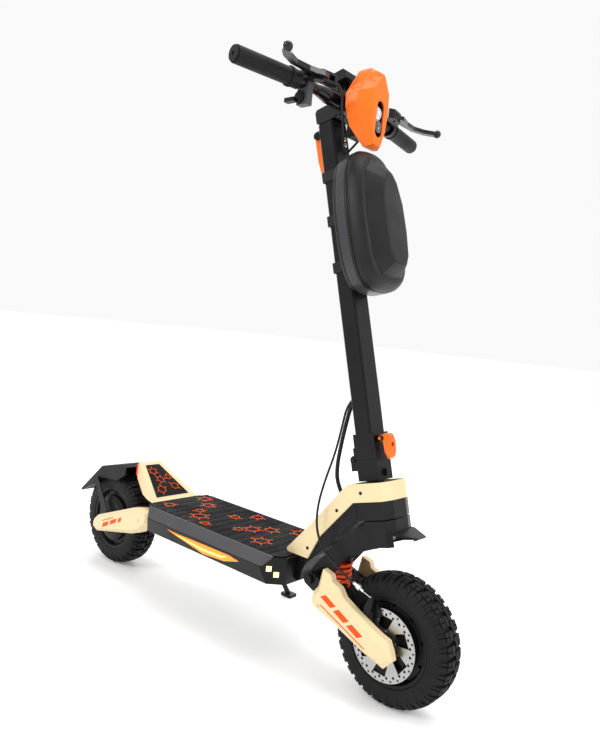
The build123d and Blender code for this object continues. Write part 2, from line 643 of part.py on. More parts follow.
beak_top = [head_xz(-8, SHROUD_BOTTOM), head_xz(51, SHROUD_BOTTOM), head_xz(90, -107), head_xz(89, -110)]
beak_low = [head_xz(52, -119), head_xz(22, -119), (398, 287), (385, 276)]
beak = prism(beak_top + beak_low, -47, 47)
beak &= plan_prism([(-60, 47), (41, 47), (90, 15), (90, -15), (41, -47), (-60, -47)], -180, -80)
beak_hollow = [head_xz(-20, -97), head_xz(50, -97), head_xz(84, -109), head_xz(60, -125), (400, 270), (360, 262)]
beak -= prism(beak_hollow, -40, 40)
beak -= fork
beak -= cheek
beak -= other_side(cheek)
keep("fork", fork)
keep("fork_shroud", shroud)
keep("front_fender", beak)


# ---- Folding joint ----

KNUCKLE_R = 9.0
KNUCKLE_HALF = 11.7
BASE_HALF_W = 24.0
BASE_FOOT = HEAD_TOP + 3
fold_x, fold_z = head_xz(FOLD_P, FOLD_S)


def head_cross_rod(p, s, radius, q_low, q_high):
    x, z = head_xz(p, s)
    return cross_rod(x, z, radius, q_low, q_high)


base = head_block(-24, 26, BASE_HALF_W, BASE_FOOT, FOLD_S - RUN)
base += steer_rod(18, -1.5, BASE_FOOT + 1)
base -= steer_rod(STEERER_R, -5, 12)
base -= head_cross_rod(FOLD_P, FOLD_S, KNUCKLE_R + 0.6, -30, 30)
near_lug = head_cross_rod(FOLD_P, FOLD_S, KNUCKLE_R, KNUCKLE_HALF + RUN, BASE_HALF_W)
near_lug += HEAD * block(FOLD_P - 8, -20, KNUCKLE_HALF + RUN, BASE_HALF_W, FOLD_S - 22, FOLD_S - 4)
pin_hole = head_cross_rod(FOLD_P, FOLD_S, FOLD_PIN_R, -30, 30)
base += near_lug + other_side(near_lug)
base += head_block(24, 33, 5, FOLD_S - 36, FOLD_S - 22)
base -= pin_hole
fold_pin = head_cross_rod(FOLD_P, FOLD_S, FOLD_PIN_R, -BASE_HALF_W - 2, BASE_HALF_W + 2)
keep("fold_base", base, fold_pin)

HEAD_BLOCK_TOP = TUBE_FOOT_S
knuckle = head_cross_rod(FOLD_P, FOLD_S, KNUCKLE_R, -KNUCKLE_HALF, KNUCKLE_HALF)
knuckle += head_block(FOLD_P - 8, -20, KNUCKLE_HALF, FOLD_S + 3, FOLD_S + 24)
knuckle -= head_cross_rod(FOLD_P, FOLD_S, FOLD_PIN_R + FIT, -30, 30)
side_relief = head_cross_rod(FOLD_P, FOLD_S, KNUCKLE_R + 0.6, -30, 30)
fold_head = head_block(-24, 26, TUBE_WIDTH / 2, FOLD_S, HEAD_BLOCK_TOP) - side_relief
LATCH_P = 34.0
LATCH_S = 88.0
latch_ear = head_cross_rod(LATCH_P, LATCH_S, 5.5, 13.3, 18)
latch_ear += HEAD * block(20, LATCH_P, 13.3, 18, LATCH_S - 5.5, LATCH_S + 5.5)
fold_head += latch_ear + other_side(latch_ear)
fold_head -= head_cross_rod(LATCH_P, LATCH_S, 3 + FIT, -20, 20)
half_d = TUBE_DEPTH / 2
half_w = TUBE_WIDTH / 2
tube = head_block(-half_d, half_d, half_w, HEAD_BLOCK_TOP, TUBE_TOP_S)
tube = chamfer(tube.edges().filter_by(lambda edge: abs(edge.length - (TUBE_TOP_S - HEAD_BLOCK_TOP)) < 1), 4)
tube -= head_block(-half_d + TUBE_WALL, half_d - TUBE_WALL, half_w - TUBE_WALL, HEAD_BLOCK_TOP + 20, TUBE_TOP_S + 5)
CLAMP_P = -34.0
CLAMP_S = 744.0
clamp_ear = head_cross_rod(CLAMP_P, CLAMP_S, 8, 8.4, 14)
clamp_ear += HEAD * block(CLAMP_P, -18, 8.4, 14, CLAMP_S - 8, CLAMP_S + 8)
clamp_pin = head_cross_rod(CLAMP_P, CLAMP_S, 3, -16, 16)
tube += clamp_ear + other_side(clamp_ear)
tube -= head_block(-30, -half_d + TUBE_WALL + 1, 1.2, 690, TUBE_TOP_S + 5)
tube -= clamp_pin
stem = fold_head + knuckle + tube
keep("stem_tube", stem, clamp_pin)

# The fold latch is a thick drop-shaped cam lever that hooks under the base's nose.
latch_face = Plane(origin=head_point(44, 0, 0), x_dir=(0, 1, 0), z_dir=HEAD.x_dir)
latch_outline = outline_face((-8, 46), (8, 46), (15, 60), (17, 80), (11, 97), (-11, 97), (-17, 80), (-15, 60))
latch = extrude(latch_face * latch_outline, -3.6)
latch += extrude(latch_face * latch_outline, 7, taper=35)
latch += head_cross_rod(LATCH_P, LATCH_S, 7, -13, 13) + head_block(LATCH_P, 40, 12, LATCH_S - 6, LATCH_S + 6)
latch -= HEAD * Plane(origin=(0, 0, 74), z_dir=(1, 0, 0)) * Cylinder(4.5, 200)
latch += head_cross_rod(LATCH_P, LATCH_S, 3, -19, 19)
keep("fold_latch", latch)


# ---- Bag on the stem ----

BAG_BACK = half_d + 1.5
BAG_SPLIT = 66.0
BAG_DEPTH = 128.0
BAG_SKIN = 3.0
bag_outline = [(-44, 376), (44, 376), (74, 420), (80, 530), (62, 622), (28, 668), (-28, 668), (-62, 622), (-80, 530), (-74, 420)]


def bag_face(p, inset):
    flat = make_face(Polyline(*bag_outline, close=True))
    flat = fillet(flat.vertices(), 24)
    if inset:
        flat = offset(flat, -inset)
    return Plane(origin=head_point(p, 0, 0), x_dir=(0, 1, 0), z_dir=HEAD.x_dir) * flat


bag_shell = extrude(bag_face(BAG_BACK, 0), BAG_SPLIT - BAG_BACK)
bag_shell -= extrude(bag_face(BAG_BACK + BAG_SKIN, BAG_SKIN), BAG_SPLIT)
BAG_MIDDLE_S = 523.0


def bag_layer(p, wide, tall, corner):
    """The bag's outline drawn in about its middle, for the domed lid."""
    outline = [(q * wide, BAG_MIDDLE_S + (s - BAG_MIDDLE_S) * tall) for q, s in bag_outline]
    flat = make_face(Polyline(*outline, close=True))
    flat = fillet(flat.vertices(), corner)
    return Plane(origin=head_point(p, 0, 0), x_dir=(0, 1, 0), z_dir=HEAD.x_dir) * flat


dome = [
    bag_layer(BAG_SPLIT + RUN, 1, 1, 24), bag_layer(BAG_SPLIT + 34, 0.9, 0.94, 20), bag_layer(BAG_DEPTH, 0.66, 0.8, 14),
]
hollow = [
    bag_layer(BAG_SPLIT - 1, 0.962, 0.979, 22), bag_layer(BAG_SPLIT + 32, 0.86, 0.915, 18),
    bag_layer(BAG_DEPTH - BAG_SKIN, 0.62, 0.77, 12),
]
HINGE_R = 2.5
bag_shell += head_cross_rod(BAG_SPLIT + RUN / 2, 374, HINGE_R, -30, 30)
bag_lid = loft(dome, ruled=True) - loft(hollow, ruled=True)
bag_lid -= head_cross_rod(BAG_SPLIT + RUN / 2, 374, HINGE_R + FIT, -31, 31)
straps = []
for strap_s in (445, 545, 640):
    strap = head_block(-half_d - 2, BAG_BACK, half_w + 2, strap_s - 11, strap_s + 11)
    straps.append(strap - head_block(-half_d, half_d, half_w, strap_s - 20, strap_s + 20))
keep("bag_back_shell", bag_shell)
keep("bag_straps", *straps)
keep("bag_lid", bag_lid)


# ---- Post, handlebar and controls ----

post_d = half_d - TUBE_WALL - RUN
post_w = half_w - TUBE_WALL - RUN
post = head_block(-post_d, post_d, post_w, POST_FOOT_S, POST_TOP_S)
post -= head_block(-post_d + 3, post_d - 3, post_w - 3, POST_FOOT_S - 5, POST_TOP_S - 8)
MOUNT_HALF_W = 25.0
mount = head_block(-22, 30, MOUNT_HALF_W, TUBE_TOP_S + 3, BAR_S + 8)
mount = chamfer(mount.edges().filter_by(Axis.Y), 5)
mount += head_cross_rod(BAR_P, BAR_S, 24, -MOUNT_HALF_W, MOUNT_HALF_W)
mount -= head_cross_rod(BAR_P, BAR_S, BAR_MID_R, -60, 60)
DISPLAY_S = 824.0
pod_foot = HEAD * block(BAR_P - 9, BAR_P + 9, -11, 11, BAR_S + 21, DISPLAY_S)
pod_foot -= head_cross_rod(BAR_P, BAR_S, 24, -60, 60)
keep("stem_post", post + mount)

bar_x, bar_z = head_xz(BAR_P, BAR_S)
sweep_turn = radians(BAR_SWEEP)
bar_end = (bar_x - BAR_OUTER * sin(sweep_turn), BAR_BEND_Y + BAR_OUTER * cos(sweep_turn))
bar_path = FilletPolyline(
    (bar_end[0], -bar_end[1], bar_z), (bar_x, -BAR_BEND_Y, bar_z), (bar_x, BAR_BEND_Y, bar_z),
    (bar_end[0], bar_end[1], bar_z), radius=60,
)
bar = sweep(Plane(bar_path @ 0, z_dir=bar_path % 0) * Circle(BAR_R), path=bar_path)
middle = [(0, -100), (BAR_R, -100), (BAR_MID_R, -68), (BAR_MID_R, 68), (BAR_R, 100), (0, 100)]
bar += spin_y(bar_x, bar_z, middle)
keep("handlebar", bar)


def bar_plane(side):
    """Z runs outwards along the grip from the bend, X up."""
    return Plane(
        origin=(bar_x, side * BAR_BEND_Y, bar_z),
        x_dir=(0, 0, 1),
        z_dir=(-sin(sweep_turn), side * cos(sweep_turn), 0),
    )


def bar_ring(side, start, end, radius, hole=BAR_R):
    ring = Cylinder(radius, end - start, align=LOW) - Cylinder(hole, end - start, align=LOW)
    return bar_plane(side) * Pos(0, 0, start) * ring


grips = []
for side in (-1, 1):
    grip = bar_ring(side, GRIP_START, BAR_OUTER, GRIP_R) + bar_ring(side, GRIP_START, GRIP_START + 6, GRIP_R + 2.5)
    grips.append(grip)
    end_cap = bar_plane(side) * Pos(0, 0, BAR_OUTER) * Cylinder(GRIP_R - 2, 4, align=LOW)
    grips.append(end_cap - bar_plane(side) * Pos(0, 0, BAR_OUTER + 2) * Cylinder(4, 4, align=LOW))
keep("grips", *grips)

LEVER_Z = bar_z + 9
LEVER_PIVOT = (bar_x + 40, -122.0)
LEVER_HALF_T = 4.5
lever_points = [
    (243, -112), (256, -116), (262, -140), (252, -172), (249, -205), (258, -232), (275, -254), (283, -262),
    (274, -271), (262, -262), (249, -244), (238, -212), (238, -170), (240, -140), (236, -124),
]


def flat_part(points, z_low, z_high):
    return extrude(Plane.XY.offset(z_low) * make_face(Polyline(*points, close=True)), z_high - z_low)


perches = []
for side in (-1, 1):
    clamp = bar_ring(side, 6, GRIP_START - RUN, 17.5)
    body = flat_part(
        [(bar_x + 20, -141), (bar_x + 12, -145), (bar_x + 12, -163), (bar_x + 24, -158), (bar_x + 46, -136), (bar_x + 52, -104),
         (bar_x + 44, -92), (bar_x + 32, -104), (bar_x + 26, -128)], LEVER_Z - 10, LEVER_Z + 10,
    )
    body -= flat_part(
        [(200, -100), (300, -100), (300, -300), (bar_x + 12, -300), (bar_x + 15, -164), (bar_x + 22, -140),
         (bar_x + 24, -112), (200, -112)],
        LEVER_Z - LEVER_HALF_T - RUN, LEVER_Z + LEVER_HALF_T + RUN,
    ) & block(bar_x + 12, 320, -300, -108, 1100, 1300)
    perch = body if side < 0 else other_side(body)
    hinge_pin = rod((LEVER_PIVOT[0], side * -LEVER_PIVOT[1], LEVER_Z - 12), (0, 0, 1), 3, 24)
    perches.append(clamp + perch + hinge_pin)
lever = flat_part(lever_points, LEVER_Z - LEVER_HALF_T, LEVER_Z + LEVER_HALF_T)
lever -= rod((LEVER_PIVOT[0], LEVER_PIVOT[1], LEVER_Z - 12), (0, 0, 1), 3 + FIT, 24)
lever += Pos(276, -262, LEVER_Z) * Sphere(9)
keep("brake_perches", *perches)
keep("right_brake_lever", lever)
keep("left_brake_lever", other_side(lever))


# ---- Throttle, button and display ----

THROTTLE_Y = -134.0
housing = cross_rod(bar_x, bar_z, 16.5, THROTTLE_Y - 8, THROTTLE_Y + 8)
housing += block(bar_x - 12, bar_x + 14, THROTTLE_Y - 8, THROTTLE_Y + 8, bar_z - 42, bar_z - 8)
housing = housing - cross_rod(bar_x, bar_z, BAR_R, -200, 0)
dial_x = bar_x - 4
dial_z = bar_z - 28
housing -= cross_rod(dial_x, dial_z, 12, THROTTLE_Y - 9, THROTTLE_Y - 4)
housing -= cross_rod(dial_x, dial_z, 3 + FIT, THROTTLE_Y - 9, THROTTLE_Y + 4)
keep("throttle_housing", housing)
paddle = cross_rod(dial_x, dial_z, 11.5, THROTTLE_Y - 12, THROTTLE_Y - 4.3)
paddle += cross_rod(dial_x, dial_z, 3, THROTTLE_Y - 6, THROTTLE_Y + 3.5)
paddle += block(dial_x - 30, dial_x - 6, THROTTLE_Y - 20, THROTTLE_Y - 8, dial_z - 9, dial_z - 1)
keep("throttle_paddle", paddle)

pod = head_block(20, 70, 31, DISPLAY_S, DISPLAY_S + 20)
pod = chamfer(pod.edges().group_by(Axis.Z)[-1], 5)
screen = head_block(28, 62, 23, DISPLAY_S + 19.2, DISPLAY_S + 21.5)
BUTTON_Y = 26.5
button_well = HEAD * Pos(30, BUTTON_Y, DISPLAY_S + 12) * Cylinder(0.1, 1)
switch_box = cross_rod(bar_x, bar_z, 17, 122, 140)
switch_box += block(bar_x - 34, bar_x - 10, 122, 140, bar_z - 9, bar_z + 9)
switch_box -= cross_rod(bar_x, bar_z, BAR_R, 100, 200)
button_at = (bar_x - 34, 131, bar_z)
switch_box -= rod(button_at, (1, 0, 0), 5 + RUN, 5)
keep("display", pod + pod_foot, switch_box)
keep("horn_button", rod((button_at[0] - 2, 131, bar_z), (1, 0, 0), 5, 4.5))


# ---- Headlight ----

MASK_BACK = 243.0
MASK_FRONT = 297.0
mask_levels = (1236, 1196, 1160, 1122, 1084)
mask_rows = [
    (MASK_BACK, (12, 49, 47, 38, 17), 0), (MASK_BACK + 26, (9, 40, 45, 35, 19), 3),
    (MASK_FRONT, (6, 24, 27, 23, 12), -12),
]


def mask_ring(x, halves, top_drop, inset=0.0):
    levels = list(mask_levels)
    levels[0] += top_drop - inset
    levels[-1] += 6 * (x > MASK_BACK + 30) + inset
    left = [(h - inset, z) for h, z in zip(halves, levels)]
    outline = left + [(-y, z) for y, z in reversed(left)]
    face = Plane(origin=(x, 0, 0), x_dir=(0, 1, 0), z_dir=(1, 0, 0)) * make_face(Polyline(*outline, close=True))
    return face


MASK_WALL = 3.5
mask = loft([mask_ring(*row) for row in mask_rows], ruled=True)
hollow_rows = [(x - MASK_WALL, halves, drop, MASK_WALL) for x, halves, drop in mask_rows]
mask_hollow = loft([mask_ring(*row) for row in hollow_rows], ruled=True)
mask -= mask_hollow
lens_plane = Plane(origin=(MASK_FRONT - 30, 0, 1141), x_dir=(0, 1, 0), z_dir=(1, 0, 0))
mask -= extrude(lens_plane * SlotCenterToCenter(48, 24, rotation=90), 60)
for side in (-1, 1):
    vent = Plane(origin=(258, side * 60, 1206), x_dir=(1, 0, 0), z_dir=(0, -side, 0)) * SlotOverall(20, 6)
    mask -= extrude(vent, 24)
keep("headlight_mask", mask)
lens_body = extrude(lens_plane * SlotCenterToCenter(48, 23.2, rotation=90), 27)
lamp_body = lens_body - extrude(lens_plane.offset(4) * SlotCenterToCenter(48, 19, rotation=90), 30)
lamp_body += block(bar_x + 21, MASK_FRONT - 29, -18, 18, 1108, 1174)
ears = block(MASK_BACK + 8, MASK_BACK + 14, -60, 60, 1132, 1166) & mask_hollow
lamp_body += ears
lamp_body -= head_cross_rod(BAR_P, BAR_S, 24, -60, 60)
keep("headlight_housing", lamp_body)
lens = extrude(lens_plane.offset(21) * SlotCenterToCenter(48, 19, rotation=90), 6)
keep("headlight_lens", lens)


# ---- Clamp lever and kickstand ----

lever_eye = head_cross_rod(CLAMP_P, CLAMP_S, 10, -8, 8)
handle = HEAD * prism([(-40, 744), (-30, 740), (-27, 690), (-30, 668), (-38, 664), (-42, 690), (-43, 735)], -7, 7)
clamp_lever = lever_eye + handle - head_cross_rod(CLAMP_P, CLAMP_S, 3 + FIT, -20, 20)
keep("clamp_lever", clamp_lever)

STAND_TURN = 19.1
stand_axis = (0, cos(radians(STAND_TURN)), sin(radians(STAND_TURN)))
stand_hub = (STAND_X, 112.0, 150.0)
STAND_LEAN = 35.6
stand_dir = (0, sin(radians(STAND_LEAN)), -cos(radians(STAND_LEAN)))
stand_len = (stand_hub[2] - 4) / cos(radians(STAND_LEAN))


def along(start, direction, distance):
    return tuple(a + b * distance for a, b in zip(start, direction))


boss = rod(along(stand_hub, stand_axis, -9), stand_axis, 11, 18)
boss -= rod(along(stand_hub, stand_axis, -12), stand_axis, 5 + FIT, 30)
stand = boss + (rod(stand_hub, stand_dir, 6.5, stand_len) - rod(along(stand_hub, stand_axis, -12), stand_axis, 9, 24))
foot_y = along(stand_hub, stand_dir, stand_len)[1]
stand += block(STAND_X - 16, STAND_X + 16, foot_y - 13, foot_y + 13, 0, 8)
keep("kickstand", stand)
bracket = rod(along(stand_hub, stand_axis, -30), stand_axis, 11, 30 - 9 - RUN)
bracket += block(STAND_X - 11, STAND_X + 11, 80, 98, 140, DECK_BOTTOM)
bracket += rod(along(stand_hub, stand_axis, -28), stand_axis, 5, 28 + 9 + RUN + 1)
bracket += rod(along(stand_hub, stand_axis, 9 + RUN), stand_axis, 8, 3)
keep("deck_shell", shell + pivot_lugs + bracket, port)


# ---- Cables ----

LOOM_R = 5.0
CABLE_R = 2.5


def cable(points, radius):
    """Straight runs joined by arcs as large as the runs allow."""
    places = [Vector(*point) for point in points]
    bends = []
    for before, corner, after in zip(places, places[1:], places[2:]):
        run_in = corner - before
        run_out = after - corner
        turn = radians(run_in.get_angle(run_out))
        bends.append(0.45 * min(run_in.length, run_out.length) / tan(turn / 2))
    print("bend radii", [round(bend) for bend in bends])
    path = FilletPolyline(*places, radius=bends)
    tube = sweep(Plane(path @ 0, z_dir=path % 0) * Circle(radius), path=path)
    print("volume share", round(tube.volume / (pi * radius ** 2 * path.length), 4))
    return tube


loom_points = [
    (312.6, 7, 577.5), (298, 8, 562), (291, 6, 519), (286, 3, 472), (283, 1, 428), (289, 0, 392), (310.6, 0, 365.6),
]
front_cable_points = [
    (314.4, -8, 577.5), (303, -14, 560), (307, -29, 518), (310, -46, 466), (303, -61, 411), (297, -69, 359),
    (300, -71, 316), (314, -69, 282), (342, -66, 256), (382, -64, 236), (436.6, -62.3, 216.6),
]
right_bar_points = [
    (251, -88, 1188), (251, -71, 1181), (243, -58, 1160), (237, -43, 1133), (231, -25, 1106), (216.5, -10, 1085),
]
left_bar_points = [
    (251, 88, 1188), (252, 70, 1183), (244, 56, 1163), (236, 40, 1137), (230, 23, 1108), (216.5, 10, 1085),
]
keep("wire_loom", cable(loom_points, LOOM_R), cable(front_cable_points, CABLE_R))
keep("bar_cables", cable(right_bar_points, CABLE_R), cable(left_bar_points, CABLE_R))

os.makedirs("parts", exist_ok=True)
for name, solids in parts.items():
    export_step(Compound(solids), f"parts/{name}.step")
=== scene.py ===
from math import atan2, cos, pi, radians, sin

import bmesh
import bpy
from mathutils import Matrix, Vector


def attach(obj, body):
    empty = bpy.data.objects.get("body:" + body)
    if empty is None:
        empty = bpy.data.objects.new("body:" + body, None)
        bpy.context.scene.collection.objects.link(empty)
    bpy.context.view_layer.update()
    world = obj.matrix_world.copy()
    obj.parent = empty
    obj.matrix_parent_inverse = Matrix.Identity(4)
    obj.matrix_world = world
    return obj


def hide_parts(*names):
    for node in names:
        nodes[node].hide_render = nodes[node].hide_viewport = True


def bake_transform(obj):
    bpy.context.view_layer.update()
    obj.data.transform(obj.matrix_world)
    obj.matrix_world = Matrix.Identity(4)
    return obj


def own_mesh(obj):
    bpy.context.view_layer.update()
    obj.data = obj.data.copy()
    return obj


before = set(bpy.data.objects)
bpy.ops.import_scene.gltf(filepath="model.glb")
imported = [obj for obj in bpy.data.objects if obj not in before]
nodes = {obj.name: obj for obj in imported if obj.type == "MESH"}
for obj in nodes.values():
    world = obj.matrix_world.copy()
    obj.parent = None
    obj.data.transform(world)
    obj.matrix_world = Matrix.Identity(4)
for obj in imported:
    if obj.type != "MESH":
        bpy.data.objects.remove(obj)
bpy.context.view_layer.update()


# ---- Camera ----
# The viewer stands in front of the right side, a little above the deck, and looks back along the
# scooter. The camera rolls by about six degrees, because the real scooter leans on its stand and this
# one stands upright.

def looking(place, heading, pitch, roll):
    """The camera's place and turn, from its heading in plan, its pitch and its roll."""
    forward = Vector((cos(heading) * cos(pitch), sin(heading) * cos(pitch), sin(pitch)))
    right = forward.cross(Vector((0, 0, 1))).normalized()
    up = right.cross(forward)
    side = right * cos(roll) + up * sin(roll)
    top = up * cos(roll) - right * sin(roll)
    turn = Matrix((side, top, -forward)).transposed().to_4x4()
    return Matrix.Translation(place) @ turn


camera_data = bpy.data.cameras.new("camera")
camera_data.sensor_fit = "VERTICAL"
camera_data.sensor_height = 36
camera_data.lens = 31.69
camera = bpy.data.objects.new("camera", camera_data)
bpy.context.scene.collection.objects.link(camera)
camera.matrix_world = looking((1.0954, -1.1075, 0.7055), radians(130.28), radians(-3.94), radians(5.85))
bpy.context.scene.camera = camera


# ---- Floor and light ----
# A pale seamless sweep, a large soft light from the camera's left, a softer one from its right,
# and one overhead. The world fills the shadows.

def principled(name):
    material = bpy.data.materials.new(name)
    material.use_nodes = True
    return material, material.node_tree.nodes, material.node_tree.links


def mesh_object(name, points, faces, material=None):
    """A mesh from its points and faces, linked into the scene."""
    mesh = bpy.data.meshes.new(name)
    mesh.from_pydata([tuple(point) for point in points], [], faces)
    mesh.update()
    thing = bpy.data.objects.new(name, mesh)
    bpy.context.scene.collection.objects.link(thing)
    if material is not None:
        mesh.materials.append(material)
    return thing


floor_paint, floor_nodes = principled("studio floor")[:2]
floor_nodes["Principled BSDF"].inputs["Base Color"].default_value = (0.95, 0.95, 0.95, 1)
floor_nodes["Principled BSDF"].inputs["Roughness"].default_value = 0.9
floor_nodes["Principled BSDF"].inputs["Specular IOR Level"].default_value = 0.0
floor_nodes["Principled BSDF"].inputs["Emission Color"].default_value = (1, 1, 1, 1)
floor_nodes["Principled BSDF"].inputs["Emission Strength"].default_value = 0.1
FLOOR_SPAN = 40.0
floor = mesh_object(
    "studio_floor",
    [(-FLOOR_SPAN, -FLOOR_SPAN, 0), (FLOOR_SPAN, -FLOOR_SPAN, 0), (FLOOR_SPAN, FLOOR_SPAN, 0),
     (-FLOOR_SPAN, FLOOR_SPAN, 0)],
    [(0, 1, 2, 3)], floor_paint,
)


def soft_light(name, place, power, span, aim=(0, 0, 0.5)):
    light = bpy.data.lights.new(name, "AREA")
    light.energy = power
    light.shape = "RECTANGLE"
    light.size, light.size_y = span
    lamp = bpy.data.objects.new(name, light)
    bpy.context.scene.collection.objects.link(lamp)
    lamp.location = place
    lamp.rotation_euler = (Vector(aim) - Vector(place)).to_track_quat("-Z", "Y").to_euler()


soft_light("key_light", (-0.6, -3.2, 2.8), 48, (1.4, 1.0))
soft_light("front_light", (3.4, 0.6, 2.2), 35, (1.0, 1.6))
soft_light("top_light", (0.2, 0.3, 4.2), 55, (2.6, 2.2))
soft_light("back_light", (-2.6, 2.4, 2.6), 40, (2.0, 2.0))
world = bpy.data.worlds.new("studio")
world.use_nodes = True
world.node_tree.nodes["Background"].inputs["Color"].default_value = (1, 1, 1, 1)
world.node_tree.nodes["Background"].inputs["Strength"].default_value = 0.95
bpy.context.scene.world = world
bpy.context.scene.view_settings.view_transform = "Standard"


# ---- Frame, deck and stem ----
# Cast and folded aluminium with a satin black powder coat. The coat has a fine orange peel, and it is
# rubbed a little where hands and shoes pass. The side rails are the same coat in grey.

def finish_paint(name, colour, roughness, metal=0.0, grain=900.0, bump=0.12, mottle=0.12, coat=0.0,
                 spread=0.12, shine=0.5):
    """A surface with a fine grain in its bump, and patches in its colour and roughness."""
    material, tree, links = principled(name)
    shader = tree["Principled BSDF"]
    shader.inputs["Metallic"].default_value = metal
    shader.inputs["Specular IOR Level"].default_value = shine
    shader.inputs["Coat Weight"].default_value = coat
    shader.inputs["Coat Roughness"].default_value = 0.08
    place = tree.new("ShaderNodeTexCoord")
    patches = tree.new("ShaderNodeTexNoise")
    patches.inputs["Scale"].default_value = 14
    patches.inputs["Detail"].default_value = 5
    links.new(place.outputs["Object"], patches.inputs["Vector"])
    tint = tree.new("ShaderNodeValToRGB")
    tint.color_ramp.elements[0].position = 0.3
    tint.color_ramp.elements[1].position = 0.7
    tint.color_ramp.elements[0].color = [c * (1 - mottle) for c in colour] + [1]
    tint.color_ramp.elements[1].color = [min(1, c * (1 + mottle)) for c in colour] + [1]
    links.new(patches.outputs["Fac"], tint.inputs["Fac"])
    links.new(tint.outputs["Color"], shader.inputs["Base Color"])
    rub = tree.new("ShaderNodeMapRange")
    rub.inputs["From Min"].default_value = 0.3
    rub.inputs["From Max"].default_value = 0.7
    rub.inputs["To Min"].default_value = max(0.03, roughness - spread)
    rub.inputs["To Max"].default_value = min(1, roughness + spread)
    links.new(patches.outputs["Fac"], rub.inputs["Value"])
    links.new(rub.outputs["Result"], shader.inputs["Roughness"])
    fine = tree.new("ShaderNodeTexNoise")
    fine.inputs["Scale"].default_value = grain
    fine.inputs["Detail"].default_value = 2
    links.new(place.outputs["Object"], fine.inputs["Vector"])
    lift = tree.new("ShaderNodeBump")
    lift.inputs["Strength"].default_value = bump
    lift.inputs["Distance"].default_value = 0.0004
    links.new(fine.outputs["Fac"], lift.inputs["Height"])
    links.new(lift.outputs["Normal"], shader.inputs["Normal"])
    return material


def paint(material, *names):
    """The CAD pieces of these names take this finish."""
    for name in names:
        piece = nodes[name].data
        piece.materials.clear()
        piece.materials.append(material)


black_coat = finish_paint("black powder coat", (0.0045, 0.0045, 0.005), 0.36, shine=0.2)
grey_coat = finish_paint("grey powder coat", (0.06, 0.06, 0.064), 0.42, shine=0.25)
gloss_black = finish_paint("gloss black enamel", (0.004, 0.004, 0.0045), 0.2, coat=0.25, bump=0.04,
                           shine=0.25)
paint(black_coat, "deck_shell", "deck_lid", "neck_frame", "fork", "fold_base", "stem_tube", "front_swing_arm",
      "rear_swing_arm", "kickstand", "brake_perches")
paint(grey_coat, "side_rails")
paint(gloss_black, "handlebar", "right_brake_lever", "left_brake_lever", "stem_post")


# ---- Covers ----
# Injection moulded panels: cream on the neck, the arms and the kickplate, orange round the headlight, and
# black on the fork, the fenders and the controls. Each is fixed with small black screws.

cream_plastic = finish_paint("cream moulding", (0.72, 0.58, 0.34), 0.36, grain=600, bump=0.05,
                             mottle=0.025, shine=0.3)
orange_plastic = finish_paint("orange moulding", (0.86, 0.15, 0.004), 0.32, grain=700, bump=0.06,
                              mottle=0.04, shine=0.3)
black_plastic = finish_paint("black moulding", (0.0045, 0.0045, 0.005), 0.42, grain=1400, bump=0.25,
                             shine=0.2)
paint(cream_plastic, "neck_cover", "kickplate", "front_arm_covers", "rear_arm_covers")
paint(orange_plastic, "headlight_mask")
paint(black_plastic, "fork_shroud", "front_fender", "rear_fender", "display", "throttle_paddle",
      "horn_button", "headlight_housing", "charging_cap")
paint(finish_paint("grey moulding", (0.06, 0.06, 0.064), 0.45, shine=0.25), "throttle_housing")


# ---- Latch and clamp lever ----
# Cast levers with an orange anodised finish, which lock the fold and the sliding post.

orange_metal = finish_paint("orange anodising", (0.85, 0.15, 0.006), 0.3, metal=0.35, bump=0.05)
paint(orange_metal, "fold_latch", "clamp_lever")


# ---- Bolts, axles and bearings ----
# Turned steel, bright on the nuts and dull on the bearings.

bright_steel = finish_paint("bright steel", (0.62, 0.62, 0.6), 0.25, metal=1.0, bump=0.08)
dark_steel = finish_paint("blackened steel", (0.012, 0.012, 0.012), 0.35, metal=0.5, bump=0.08, shine=0.2)
paint(bright_steel, "headset_bearings", "front_axle_and_stator", "rear_axle_and_stator")
paint(dark_steel, "body_screws", "front_pivot_bolt", "rear_pivot_bolt")


# ---- Wheels ----
# Cast black rims with a hub motor inside, ground steel brake rotors, and cast calipers.

paint(black_coat, "front_rim", "rear_rim")
rotor_steel = finish_paint("ground rotor steel", (0.42, 0.42, 0.41), 0.34, metal=1.0, grain=300, bump=0.15)
paint(rotor_steel, "front_rotor", "rear_rotor")
paint(dark_steel, "front_caliper", "rear_caliper", "front_caliper_arm", "rear_caliper_arm")


# ---- Springs ----
# Coil springs with a thick orange-red enamel.

spring_enamel = finish_paint("spring enamel", (0.85, 0.085, 0.008), 0.25, coat=0.3, bump=0.03, shine=0.3)
paint(spring_enamel, "front_spring", "rear_spring")


# ---- Lamps ----
# Amber side lights and corner lamps behind clear covers, a red tail lamp, and a clear headlight lens.

def lamp_glow(name, colour, strength):
    material, tree = principled(name)[:2]
    shader = tree["Principled BSDF"]
    shader.inputs["Base Color"].default_value = colour + (1,)
    shader.inputs["Roughness"].default_value = 0.15
    shader.inputs["Emission Color"].default_value = colour + (1,)
    shader.inputs["Emission Strength"].default_value = strength
    return material


paint(lamp_glow("amber lamp", (0.95, 0.25, 0.008), 0.45), "deck_lights")
paint(lamp_glow("red lamp", (0.8, 0.02, 0.01), 0.4), "tail_light")
paint(lamp_glow("clear lamp", (0.8, 0.82, 0.85), 0.1), "headlight_lens")
paint(finish_paint("shrink wrap", (0.05, 0.12, 0.3), 0.3), "battery_and_controllers")


# ---- Tyres ----
# Ten inch tyres for rough ground, in matt black rubber: a round carcass with bead lines and cooling ribs
# on its walls, and a moulded tread of chunky blocks in a zigzag, with sipes and shoulder lugs.

